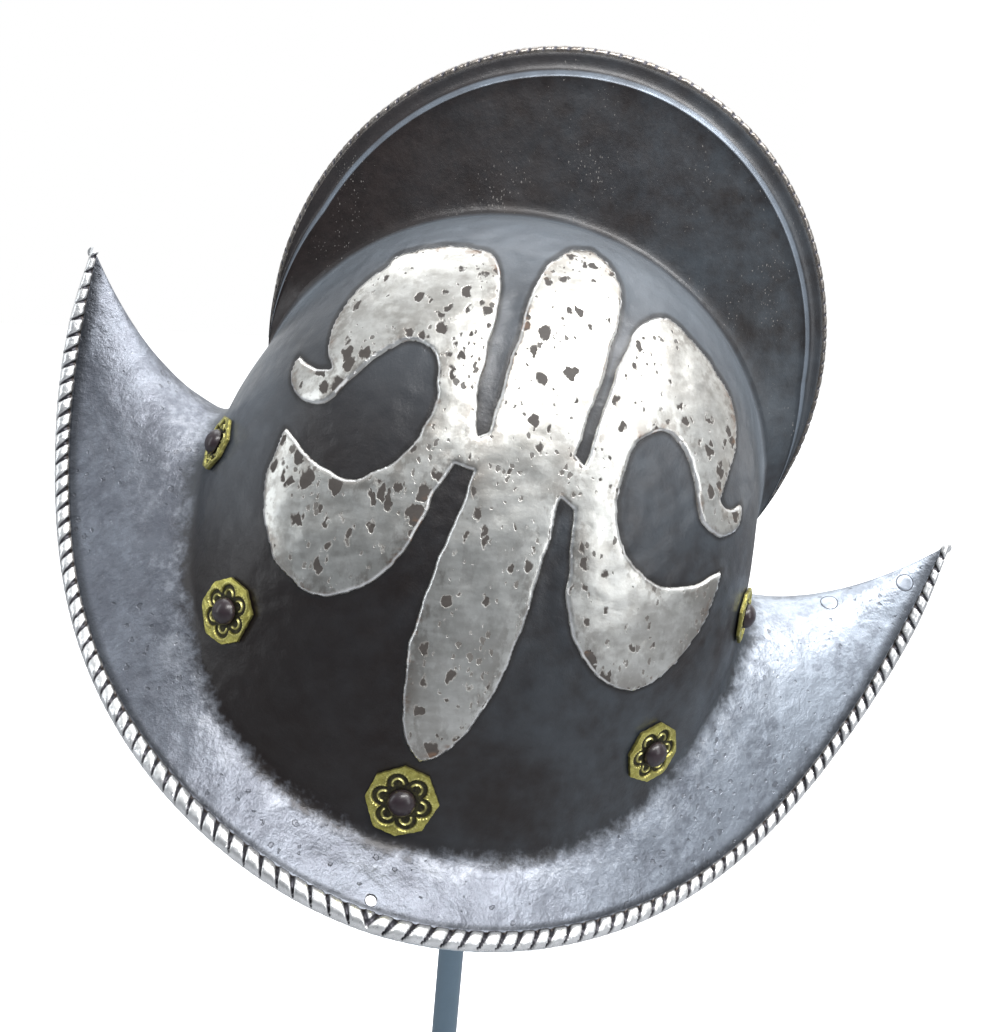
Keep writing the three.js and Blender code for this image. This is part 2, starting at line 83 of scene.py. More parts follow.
# Half outlines of the lily in the side view, length against height; 1 marks a sharp corner.
BLADE = [(0, 203), (8, 200), (13.5, 194), (16, 186), (16, 172), (15.5, 150), (15, 137, 1)]
FOOT = [
    (15, 124, 1), (15.5, 114), (16.5, 98), (17, 84), (16.5, 70), (14.5, 55), (10, 41), (5, 33), (0, 30, 1),
]
PETAL_RIGHT = [
    (18.5, 137, 1), (18.5, 148), (19, 165), (20.5, 178), (23, 185), (28, 189), (34.5, 189.5),
    (43, 186.5), (54, 180), (63, 173), (69.5, 163.5), (72, 151.5), (71, 143), (70.3, 138, 1),
    (75, 136), (80.5, 138.5, 1), (82.5, 132.5), (80.5, 127.5), (75.5, 125.5), (69, 127),
    (63.5, 131), (59.5, 138.5), (55, 146), (50, 151), (44, 153.8), (39, 152.5), (34.5, 148.5),
    (32.6, 142.5), (32.7, 134), (35.4, 124), (40.5, 115.5), (48, 110.2), (57.5, 107), (67, 108),
    (74.5, 111.5), (80.5, 115.5, 1), (80.3, 105), (78.5, 93), (74, 82.5), (67.5, 74), (59.5, 70),
    (49.5, 71.5), (40, 77), (33, 84.5), (27, 95.5), (23, 110), (19, 125, 1),
]
PETAL_LEFT = [
    (-17.5, 134.5, 1), (-21.5, 146), (-23.5, 165), (-25.3, 178.5), (-28, 185.5), (-32.5, 189.3),
    (-39, 190), (-50, 186.3), (-62, 179.5), (-71, 166.5), (-76, 154.5), (-76.2, 146), (-74.5, 140),
    (-71.2, 135.8, 1), (-77, 133), (-84.3, 134.5, 1), (-85.3, 130.5), (-83.5, 125), (-79, 122),
    (-72.7, 122.5), (-68, 126), (-63.5, 134), (-59.5, 141.5), (-53.5, 149.5), (-48.5, 153.6),
    (-42.5, 154.2), (-38, 150.6), (-35.5, 143), (-34.8, 135), (-36.7, 125), (-40.7, 117), (-47, 110.4),
    (-54, 106.4), (-62.5, 106.6), (-71, 109), (-79, 111.5, 1), (-80.3, 104.5), (-80, 93),
    (-76.5, 84), (-71.5, 76), (-63.5, 70), (-53.5, 67.7), (-44.5, 70), (-36.5, 76), (-30.5, 84.5),
    (-26.8, 95), (-24.5, 105), (-23.3, 116), (-21.5, 123.5, 1),
]


# ---- what a user would change ----
def length(name, description, default, low, high):
    """A length property in metres."""
    return bpy.props.FloatProperty(
        name=name, description=description, default=default, min=low, max=high, unit="LENGTH", precision=5
    )


def colour(name, description, default):
    """A colour property."""
    return bpy.props.FloatVectorProperty(
        name=name, description=description, default=default + (1.0,), size=4, min=0, max=1, subtype="COLOR"
    )


class MorionSizes(bpy.types.PropertyGroup):
    """Sizes of the hand work on the helmet."""

    comb_bead: length("Comb bead", "Radius of the bead along the comb's edge", 0.0016, 0.0008, 0.003)
    rope_pitch: length("Rope pitch", "From one filed notch to the next round the brim", 0.006, 0.003, 0.012)
    comb_pitch: length("Comb pitch", "From one notch to the next along the comb", 0.0048, 0.002, 0.01)
    notch_depth: length("Notch depth", "How deep the notches of the brim are filed", 0.0011, 0.0, 0.002)
    lily_rise: length("Lily rise", "How far a lily stands off the ground beside it", 0.001, 0.0003, 0.002)
    lily_swell: length("Lily swell", "How far the ground swells up to a lily", 0.0006, 0.0, 0.001)
    planish: length("Planishing", "Height of the hammer's waves in the plate", 0.0003, 0.0, 0.001)


class MorionColours(bpy.types.PropertyGroup):
    """Colours of the finishes."""

    ground: colour("Ground", "Blackened steel of the skull and comb", (0.0075, 0.0042, 0.0035))
    # painted reflection: the blue-grey that the finish lays over the black ground
    ground_blue_sheen: colour("Ground, blued", "Where the black has a blue cast", (0.060, 0.077, 0.094))
    # the brim's two colours give its patches and also the shaded and lit ends of painted light along it
    brim_dull_and_shaded: colour("Brim, dark", "The duller patches of the brim", (0.135, 0.142, 0.165))
    brim_clean_and_lit: colour("Brim, light", "The cleaner patches of the brim", (0.46, 0.51, 0.58))
    lily: colour("Lily", "Bright steel of the lilies", (0.66, 0.655, 0.62))
    pit: colour("Pits", "The stain in pits", (0.030, 0.023, 0.019))
    rust: colour("Rust", "Rust along edges", (0.17, 0.085, 0.04))
    rope: colour("Roped edge", "Bright steel of the roped edge", (0.88, 0.88, 0.88))
    brass: colour("Brass", "Aged brass of the rosettes", (0.56, 0.52, 0.15))
    brass_dark: colour("Brass, dark", "Patina in a rosette's recesses", (0.030, 0.028, 0.026))
    rivet: colour("Rivets", "Black of the rivet domes", (0.012, 0.008, 0.010))
    stand: colour("Stand", "Grey steel of the stand", (0.17, 0.235, 0.29))


# ---- curves of the plate; the angle runs from the +X end, and y is negative on this side ----
def ease(x):
    t = np.clip(x, 0.0, 1.0)
    return t * t * (3 - 2 * t)


def unit(v):
    return v / np.maximum(np.linalg.norm(v, axis=-1, keepdims=True), 1e-9)


def edge_at(angle):
    a = angle + math.radians(7) * np.sin(2 * angle)
    s = np.cos(a)
    m = np.abs(s)
    y = -BRIM_WIDTH * np.maximum(0, 1 - m**PLAN_POWER) ** PLAN_ROUND * np.where(np.sin(a) < -1e-12, -1, 1)
    up = RISE["square"] * m**2 + RISE["fourth"] * m**4 + RISE["eighth"] * m**8
    lean = RISE["skew"] * s * (1 - s * s) + RISE["lift"] * np.maximum(0, s) ** 12
    x = BRIM_LENGTH * s * (1 + BRIM_LONGER * (1 + s))
    return np.stack([x, y, RISE["low"] + RISE["rise"] * up + lean], -1)


def base_at(angle):
    c = np.cos(angle)
    z = BASE_RISE * (BASE_SQUARE * c * c + (1 - BASE_SQUARE) * c**4)
    x = BASE_LENGTH * c * (1 - (BASE_BLUNT + BASE_LEAN * c) * c**8)
    return np.stack([x, -BASE_WIDTH * np.sin(angle), z], -1)


def arc_at(curve, angle):
    start = math.asin((END_HEIGHT - curve["centre"]) / curve["height"])
    a = start + ((math.pi - 2 * start) * angle) / math.pi
    x, z = curve["length"] * np.cos(a), curve["centre"] + curve["height"] * np.sin(a)
    return np.stack([x, np.zeros_like(x), z], -1)


def taper(angle):
    end = np.minimum(angle, math.pi - angle)
    return np.minimum(1, np.maximum(end, 0) / math.radians(15)) ** 0.5


def crown_at(angle):
    p = arc_at(CROWN, angle)
    p[..., 1] = -CROWN_HALF * taper(angle)
    return p


def skull_at(angle, t):
    """A point of the skull, from the base (0) to the root of the comb (1)."""
    angle, t = np.broadcast_arrays(np.asarray(angle, float), np.asarray(t, float))
    low, top = base_at(angle), crown_at(angle)
    c = np.cos(angle)
    end = c**8
    span = top - low
    zero = np.zeros_like(c)
    rise = np.stack([(0.6 + 0.3 * c) * span[..., 0] * end, zero, 0.5523 * span[..., 2]], -1)
    reach = np.stack([zero, -0.5523 * span[..., 1] * (1 - end), zero], -1)
    fall = np.stack([np.sign(c) * 0.19, zero, zero - 0.98], -1)
    fall *= (0.35 * np.linalg.norm(span, axis=-1) * end)[..., None]
    p1, p2, t = low + rise, top + reach + fall, t[..., None]
    u = 1 - t
    return u**3 * low + 3 * u * u * t * p1 + 3 * u * t * t * p2 + t**3 * top


def brim_at(angle, share):
    """A point of the brim's upper face, from the base (0) to the turned edge (1)."""
    angle, share = np.broadcast_arrays(np.asarray(angle, float), np.asarray(share, float))
    low, out = base_at(angle), edge_at(angle)
    end = np.minimum(np.abs(angle), np.abs(math.pi - angle))
    held = TIP_SHORT * (1 - ease(end / math.radians(22))) / np.linalg.norm(out - low, axis=-1)
    t = share * (1 - held)
    p = low + (out - low) * t[..., None]
    sag = KEEL_SAG * np.cos(angle) ** 4
    p[..., 2] = low[..., 2] + (out[..., 2] - low[..., 2]) * (t + sag * (t * t - t))
    return p


def bend(p, c, q, t):
    return (1 - t) ** 2 * p + 2 * t * (1 - t) * c + t * t * q


def comb_lines(angle):
    """Crest, root, direction from root to crest, height of the comb and end taper, for each angle."""
    root, crest = arc_at(CROWN, angle), arc_at(COMB, angle)
    inner = np.clip(angle, 0.012, math.pi - 0.012)
    axis = unit(arc_at(COMB, inner) - arc_at(CROWN, inner))
    tall = np.linalg.norm(crest - root, axis=-1)
    return crest, root, axis, tall, taper(angle)


# Rows of the comb's border: distance down from the edge, half thickness.
BORDER = [
    (1.2, 0.0), (1.6, 0.8), (2.6, 1.3), (4.0, 1.2), (5.6, 1.15), (7.0, 1.3), (8.0, 1.55), (8.7, 1.9),
    (9.5, 2.45), (10.3, 3.0), (11.0, 3.4), (11.5, 3.5), (12.0, 3.38), (PANEL_DOWN, PANEL_HALF),
]
BEVEL_FROM, BEVEL_TO = 9.0, 11.2  # the reach down from the comb's edge of the bevelled step that carries a painted highlight
FLANK_ROWS, ROOT_ROWS, SKULL_ROWS, FOOT_ROWS, BRIM_ROWS = 9, 6, 58, 5, 28
ROOT_FILLET = 6.0


def plate_rows(angle):
    """Outer face from the comb's edge to the brim's, and masks that say where each row lies."""
    crest, _, axis, tall, w = comb_lines(angle)
    fit = np.minimum(1, tall / 32)
    rows, marks = [], []

    def add(p, **mask):
        rows.append(p)
        marks.append(mask)

    def on(down, half):
        p = crest - axis * np.minimum(down, tall)[:, None]
        p[:, 1] = -half * w
        return p

    for down, half in BORDER:
        channel = float(ease((BEVEL_FROM - down) / 1.5))
        add(on(down * fit, half), border=channel, bevel=float(BEVEL_FROM < down < BEVEL_TO), comb=1)
    start = np.minimum(PANEL_DOWN * fit, tall)

    def flank(t):
        half = PANEL_HALF + (CROWN_HALF - PANEL_HALF) * t**1.3
        return on(start + (tall - start) * t, half)

    clear = np.maximum(tall - start, 1)
    upper_t = 1 - np.minimum(0.5, ROOT_FILLET / clear)
    for i in range(1, FLANK_ROWS + 1):
        add(flank(upper_t * i / FLANK_ROWS), comb=1)
    skull_span = np.linalg.norm(crown_at(angle) - base_at(angle), axis=-1)
    top = np.minimum(0.45, ROOT_FILLET * np.minimum(1, tall / 25) / skull_span) * 0.8
    lower = skull_at(angle, 1 - top)
    for i in range(1, ROOT_ROWS + 1):
        t = i / ROOT_ROWS
        shares = {"comb": float(ease(1.6 - 2 * t)), "crown": float(ease(2 * t - 0.9))}
        add(bend(flank(upper_t), crown_at(angle), lower, t), **shares)
    round_ = FILLET_SIDE + (FILLET_END - FILLET_SIDE) * np.cos(angle) ** 8
    bottom = np.minimum(0.45, round_ / skull_span) * 0.75
    for i in range(1, SKULL_ROWS + 1):
        down = i / SKULL_ROWS
        # the crown mask runs from the comb's root down the upper skull, where the finish paints a blue-grey
        # reflection
        high = float(0.4 * ease(1.7 - 2.4 * down) + 0.6 * ease(1.2 - 3.6 * down))
        add(skull_at(angle, 1 - (top + (1 - bottom - top) * down)), skull=1, crown=high)
    foot = rows[-1]
    widen = np.minimum(0.2, round_ / np.linalg.norm(base_at(angle) - edge_at(angle), axis=-1))
    rim = brim_at(angle, widen)
    for i in range(1, FOOT_ROWS + 1):
        t = i / FOOT_ROWS
        add(bend(foot, base_at(angle), rim, t), brim=0.6 * t)
    for i in range(1, BRIM_ROWS + 1):
        add(brim_at(angle, widen + (1 - widen) * i / BRIM_ROWS), brim=0.6 + 2.4 * i / BRIM_ROWS)
    return np.stack(rows, 1), marks


def surface_normals(p):
    n = unit(np.cross(np.gradient(p, axis=0), np.gradient(p, axis=1)))
    n[[0, -1], :, 1] = 0
    return unit(n)


def to_world(p):
    """From the helmet's level frame in millimetres to the shared frame in metres."""
    x, y, z = p[..., 0], p[..., 1], p[..., 2]
    c, s = math.cos(TILT), math.sin(TILT)
    return np.stack([x * c + z * s - POST_AT, y, -x * s + z * c + HELMET_UP], -1) / 1000


def ripple(p, size, amount, seed=0.0):
    """Smooth noise of this feature size at points in millimetres."""
    flat = p.reshape(-1, 3) / size + seed
    return np.array([noise.noise(Vector(q)) for q in flat]).reshape(p.shape[:-1]) * amount


# ---- mesh tools ----
def clear_selection():
    if bpy.context.object and bpy.context.object.mode != "OBJECT":
        bpy.ops.object.mode_set(mode="OBJECT")
    bpy.ops.object.select_all(action="DESELECT")


def choose(obj):
    clear_selection()
    bpy.context.view_layer.objects.active = obj
    obj.select_set(True)


def named(name):
    obj = bpy.context.object
    obj.name = obj.data.name = name
    return obj


def draped_grid(name, points):
    """A grid primitive whose corners are laid on points[i][j], in metres."""
    clear_selection()
    columns, rows = points.shape[:2]
    bpy.ops.mesh.primitive_grid_add(x_subdivisions=columns - 1, y_subdivisions=rows - 1, size=2)
    obj = named(name)
    co = np.empty(len(obj.data.vertices) * 3)
    obj.data.vertices.foreach_get("co", co)
    co = co.reshape(-1, 3)
    i = np.rint((co[:, 0] + 1) / 2 * (columns - 1)).astype(int)
    j = np.rint((co[:, 1] + 1) / 2 * (rows - 1)).astype(int)
    obj.data.vertices.foreach_set("co", points[i, j].ravel())
    obj.data.update()
    while obj.data.uv_layers:
        obj.data.uv_layers.remove(obj.data.uv_layers[0])
    return obj, i, j


def write_mask(obj, name, values):
    mask = obj.data.attributes.new(name, "FLOAT", "POINT")
    mask.data.foreach_set("value", np.ascontiguousarray(values, dtype=np.float32))


def close_up(obj, merge=1e-6, sharp=50):
    """Merges doubles, turns all faces outwards and shades the piece."""
    choose(obj)
    bpy.ops.object.mode_set(mode="EDIT")
    bpy.ops.mesh.select_all(action="SELECT")
    bpy.ops.mesh.remove_doubles(threshold=merge)
    bpy.ops.mesh.select_all(action="SELECT")
    bpy.ops.mesh.normals_make_consistent(inside=False)
    bpy.ops.object.mode_set(mode="OBJECT")
    bpy.ops.object.shade_smooth_by_angle(angle=math.radians(sharp))


def mirror_across(obj):
    choose(obj)
    mod = obj.modifiers.new("other side", "MIRROR")
    mod.use_axis = (False, True, False)
    mod.use_mirror_merge = True
    mod.merge_threshold = 2e-5
    bpy.ops.object.modifier_apply(modifier=mod.name)


def turned(name, profile, sides, sharp=30):
    """A turned piece about Z from (radius, height) pairs in millimetres, bottom first."""
    clear_selection()
    radius, height = profile[0]
    bpy.ops.mesh.primitive_circle_add(
        vertices=sides, radius=radius / 1000, fill_type="NGON", location=(0, 0, height / 1000)
    )
    obj = named(name)
    bpy.ops.object.transform_apply(location=True, rotation=False, scale=False)
    bpy.ops.object.mode_set(mode="EDIT")
    bpy.ops.mesh.select_all(action="SELECT")
    for r, z in profile[1:]:
        lift = (0, 0, (z - height) / 1000)
        bpy.ops.mesh.extrude_region_move(TRANSFORM_OT_translate={"value": lift, "orient_type": "GLOBAL"})
        k = r / radius
        bpy.ops.transform.resize(value=(k, k, 1), center_override=(0, 0, z / 1000))
        radius, height = r, z
    bpy.ops.object.mode_set(mode="OBJECT")
    close_up(obj, sharp=sharp)
    return obj


def hit_tree(obj):
    """A tree of the piece's faces that rays can be cast at."""
    corners = [v.co[:] for v in obj.data.vertices]
    return BVHTree.FromPolygons(corners, [f.vertices[:] for f in obj.data.polygons])


def copy_of(obj, name, matrix=None):
    new = obj.copy()
    new.data = obj.data.copy()
    new.name = new.data.name = name
    bpy.context.scene.collection.objects.link(new)
    if matrix is not None:
        new.data.transform(matrix)
        new.data.update()
    return new


def settle(obj, material, slot, *nodes):
    """Gives a finished piece its material and body and hides the solids it stands for; slot is not used."""
    obj.data.materials.clear()
    obj.data.materials.append(material)
    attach(obj, "root")
    if nodes:
        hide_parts(*nodes)


def frame_on(point, out):
    """A matrix in the row's frame, in metres, with z out of a face and x along the helmet."""
    x = unit(np.array([1.0, 0, 0]) - out * out[0])
    y = np.cross(out, x)
    m = np.array([x, y, out]).T
    c, s = math.cos(TILT), math.sin(TILT)
    turn = np.array([[c, 0, s], [0, 1, 0], [-s, 0, c]])
    matrix = Matrix((turn @ m).tolist()).to_4x4()
    matrix.translation = Vector(to_world(point))
    return matrix


def skull_frame(angle, t, side=1):
    a = math.radians(angle)
    across = skull_at(a + 0.01, t) - skull_at(a - 0.01, t)
    upward = skull_at(a, t + 0.01) - skull_at(a, t - 0.01)
    flip = np.array([1, side, 1])
    return frame_on(skull_at(a, t) * flip, unit(np.cross(upward, across)) * flip)


def brim_frame(angle, share):
    a = math.radians(angle)
    across = brim_at(a + 0.01, share) - brim_at(a - 0.01, share)
    outward = brim_at(a, share + 0.01) - brim_at(a, share - 0.01)
    return frame_on(brim_at(a, share), unit(np.cross(across, outward)))


# ---- the lily's outline ----
def through(points, steps):
    """A centripetal curve through points, with this many steps in each span."""
    pts = [np.array(p[:2], float) for p in points]
    if len(pts) == 2:
        return [pts[0]]
    pts = [2 * pts[0] - pts[1]] + pts + [2 * pts[-1] - pts[-2]]
    out = []
    for k in range(1, len(pts) - 2):
        q = pts[k - 1 : k + 3]
        t = [0.0]
        for a, b in zip(q, q[1:]):
            t.append(t[-1] + max(np.linalg.norm(b - a), 1e-6) ** 0.5)
        for i in range(steps):
            x = t[1] + (t[2] - t[1]) * i / steps

            def between(one, other, low, high):
                return (t[high] - x) / (t[high] - t[low]) * one + (x - t[low]) / (t[high] - t[low]) * other

            a1, a2, a3 = (between(q[j], q[j + 1], j, j + 1) for j in range(3))
            out.append(between(between(a1, a2, 0, 2), between(a2, a3, 1, 3), 1, 2))
    return out


def runs(points, steps):
    out, run = [], [points[0]]
    for i, p in enumerate(points[1:], 1):
        run.append(p)
        if len(p) > 2 or i == len(points) - 1:
            out += through(run, steps)
            run = [p]
    return out


def lily_outline(steps=6):
    """The whole outline, evenly dense, with the slight wobble of hand work."""

    def flip(pts):
        return [(-p[0],) + tuple(p[1:]) for p in pts][::-1]

    line = runs(BLADE, steps) + runs(PETAL_RIGHT, steps) + runs(FOOT, steps) + runs(flip(FOOT), steps)
    line += [np.array([-15.0, 124.0])] + runs(PETAL_LEFT[::-1], steps)
    line += [np.array([-17.5, 134.5])] + runs(flip(BLADE), steps)
    line = np.array(line)
    dense = []
    for p, q in zip(line, np.roll(line, -1, 0)):
        gap = np.linalg.norm(q - p)
        parts = max(1, round(gap))
        if gap >= 0.15:
            dense += [p + (q - p) * i / parts for i in range(parts)]
    line = np.array(dense)
    tangent = unit(np.roll(line, -1, 0) - np.roll(line, 1, 0))
    out = np.stack([tangent[:, 1], -tangent[:, 0]], -1)
    wobble = ripple(np.c_[line, np.zeros(len(line))], 9.0, 0.9)
    wobble += ripple(np.c_[line, np.ones(len(line))], 3.5, 0.35)
    return line + out * wobble[:, None]


def inside_distance(points, outline):
    """Distance from the outline, above zero inside it."""
    a, b = outline, np.roll(outline, -1, 0)
    ab = b - a
    result = np.empty(len(points))
    for k in range(0, len(points), 2000):
        p = points[k : k + 2000, None, :]
        t = np.clip(((p - a) * ab).sum(-1) / (ab * ab).sum(-1), 0, 1)
        d = np.linalg.norm(p - a - ab * t[..., None], axis=-1).min(1)
        y = p[..., 1]
        crosses = (a[:, 1] > y) != (b[:, 1] > y)
        safe = np.where(np.abs(ab[:, 1]) < 1e-12, 1e-12, ab[:, 1])
        x = a[:, 0] + (y - a[:, 1]) / safe * ab[:, 0]
        result[k : k + 2000] = np.where((crosses & (p[..., 0] < x)).sum(1) % 2 == 1, d, -d)
    return result


# ---- node tools ----
def put(tree, kind, settings=None, **inputs):
    """Adds a node, with sockets linked or set by name; 'n0' stands for the input numbered 0."""
    node = tree.nodes.new(kind)
    for key, value in (settings or {}).items():
        setattr(node, key, value)
    for key, value in inputs.items():
        numbered = key[0] == "n" and key[1:].isdigit()
        socket = node.inputs[int(key[1:])] if numbered else node.inputs[key.replace("_", " ")]
        if isinstance(value, bpy.types.NodeSocket):
            tree.links.new(value, socket)
        else:
            socket.default_value = value
    return node


def calc(tree, operation, a, b=0.0, c=0.0, clamp=False):
    settings = {"operation": operation, "use_clamp": clamp}
    return put(tree, "ShaderNodeMath", settings, n0=a, n1=b, n2=c).outputs[0]


def times(tree, a, b, clamp=False):
    return calc(tree, "MULTIPLY", a, b, clamp=clamp)


def times_plus(tree, a, b, c, clamp=False):
    return calc(tree, "MULTIPLY_ADD", a, b, c, clamp=clamp)


def noise_of(tree, place, **inputs):
    return put(tree, "ShaderNodeTexNoise", Vector=place, **inputs)


def spread(tree, value, low, high, out_low=0.0, out_high=1.0):
    """A value eased from out_low to out_high between low and high, which may run downwards."""
    settings = {"interpolation_type": "SMOOTHSTEP"}
    node = put(tree, "ShaderNodeMapRange", settings, n0=value, n1=low, n2=high, n3=out_low, n4=out_high)
    return node.outputs[0]


def blend(tree, share, a, b):
    """The colour a share of the way from a to b."""
    node = tree.nodes.new("ShaderNodeMix")
    node.data_type = "RGBA"
    for socket, value in ((node.inputs[0], share), (node.inputs[6], a), (node.inputs[7], b)):
        if isinstance(value, bpy.types.NodeSocket):
            tree.links.new(value, socket)
        else:
            socket.default_value = value
    return node.outputs[2]


def mask_of(tree, name):
    return put(tree, "ShaderNodeAttribute", {"attribute_name": name}).outputs["Fac"]


def group(name, inputs, outputs, make):
    """A shader node group with named sockets, made once."""
    tree = bpy.data.node_groups.get(name)
    if tree:
        return tree
    tree = bpy.data.node_groups.new(name, "ShaderNodeTree")
    for label, kind, default in inputs:
        socket = tree.interface.new_socket(name=label, in_out="INPUT", socket_type=kind)
        if default is not None:
            socket.default_value = default
    for label, kind in outputs:
        tree.interface.new_socket(name=label, in_out="OUTPUT", socket_type=kind)
    start, end = tree.nodes.new("NodeGroupInput"), tree.nodes.new("NodeGroupOutput")
    for label, socket in make(tree, start.outputs).items():
        tree.links.new(socket, end.inputs[label])
    return tree


VECTOR, FLOAT = "NodeSocketVector", "NodeSocketFloat"


def mottle_group():
    def make(t, i):
        look = {"Detail": 5.0, "Roughness": 0.62, "Distortion": 0.4}
        broad = noise_of(t, i["Vector"], Scale=i["Scale"], **look)
        finer = times(t, i["Scale"], 5.3)
        fine = noise_of(t, i["Vector"], Scale=finer, Detail=3.0, Roughness=0.6)
        mixed = times_plus(t, fine.outputs[0], 0.35, times(t, broad.outputs[0], 0.65))
        low = calc(t, "SUBTRACT", 0.5, i["Softness"])
        high = calc(t, "ADD", 0.5, i["Softness"])
        return {"Value": spread(t, mixed, low, high)}

    sockets = [("Vector", VECTOR, None), ("Scale", FLOAT, 40.0), ("Softness", FLOAT, 0.2)]
    return group("worn mottle", sockets, [("Value", FLOAT)], make)


def pits_group():
    def make(t, i):
        warp = noise_of(t, i["Vector"], Scale=times(t, i["Scale"], 1.6), Detail=3.0)
        cell = calc(t, "DIVIDE", 0.9, i["Scale"])
        pull = put(t, "ShaderNodeVectorMath", {"operation": "SCALE"}, n0=warp.outputs[1], Scale=cell)
        place = put(t, "ShaderNodeVectorMath", {"operation": "ADD"}, n0=i["Vector"], n1=pull.outputs[0])
        cells = put(t, "ShaderNodeTexVoronoi", Vector=place.outputs[0], Scale=i["Scale"], Randomness=1.0)
        size = put(t, "ShaderNodeSeparateColor", Color=cells.outputs["Color"])
        where = noise_of(t, i["Vector"], Scale=i["Cluster"], Detail=2.0)
        reach = times_plus(t, where.outputs[0], 1.1, times(t, size.outputs[0], 0.5))
        reach = calc(t, "ADD", reach, calc(t, "ADD", i["Coverage"], -0.8))
        return {"Mask": spread(t, calc(t, "SUBTRACT", reach, cells.outputs["Distance"]), -0.05, 0.06)}

    sockets = [("Vector", VECTOR, None), ("Scale", FLOAT, 200.0)]
    sockets += [("Cluster", FLOAT, 30.0), ("Coverage", FLOAT, 0.1)]
    return group("pit clusters", sockets, [("Mask", FLOAT)], make)


def hammer_group():
    def make(t, i):
        broad = noise_of(t, i["Vector"], Scale=i["Scale"], Detail=1.0)
        closer, finest = times(t, i["Scale"], 1.7), times(t, i["Scale"], 9.0)
        smooth = {"feature": "SMOOTH_F1"}
        dints = put(t, "ShaderNodeTexVoronoi", smooth, Vector=i["Vector"], Scale=closer, Smoothness=0.9)
        grain = noise_of(t, i["Vector"], Scale=finest, Detail=4.0, Roughness=0.65)
        low = times_plus(t, dints.outputs[0], 0.5, broad.outputs[0])
        return {"Height": times_plus(t, grain.outputs[0], i["Grain"], low)}

    sockets = [("Vector", VECTOR, None), ("Scale", FLOAT, 60.0), ("Grain", FLOAT, 0.2)]
    return group("hammer work", sockets, [("Height", FLOAT)], make)


def use(tree, node_group, **inputs):
    node = tree.nodes.new("ShaderNodeGroup")
    node.node_tree = node_group
    for key, value in inputs.items():
        if isinstance(value, bpy.types.NodeSocket):
            tree.links.new(value, node.inputs[key])
        else:
            node.inputs[key].default_value = value
    return node.outputs[0]


def new_material(name):
    """A material's tree, its Principled shader and its object coordinates."""
    material = bpy.data.materials.get(name)
    if material:
        return material, None, None, None
    material = bpy.data.materials.new(name)
    material.use_nodes = True
    tree = material.node_tree
    shader = tree.nodes["Principled BSDF"]
    place = put(tree, "ShaderNodeTexCoord").outputs["Object"]
    return material, tree, shader, place


def connect(tree, shader, **sockets):
    for key, value in sockets.items():
        socket = shader.inputs[key.replace("_", " ")]
        if isinstance(value, bpy.types.NodeSocket):
            tree.links.new(value, socket)
        else:
            socket.default_value = value


def relief(tree, height, distance, strength=1.0, under=None):
    extra = {"Normal": under} if under else {}
    node = put(tree, "ShaderNodeBump", Height=height, Distance=distance, Strength=strength, **extra)
    return node.outputs[0]


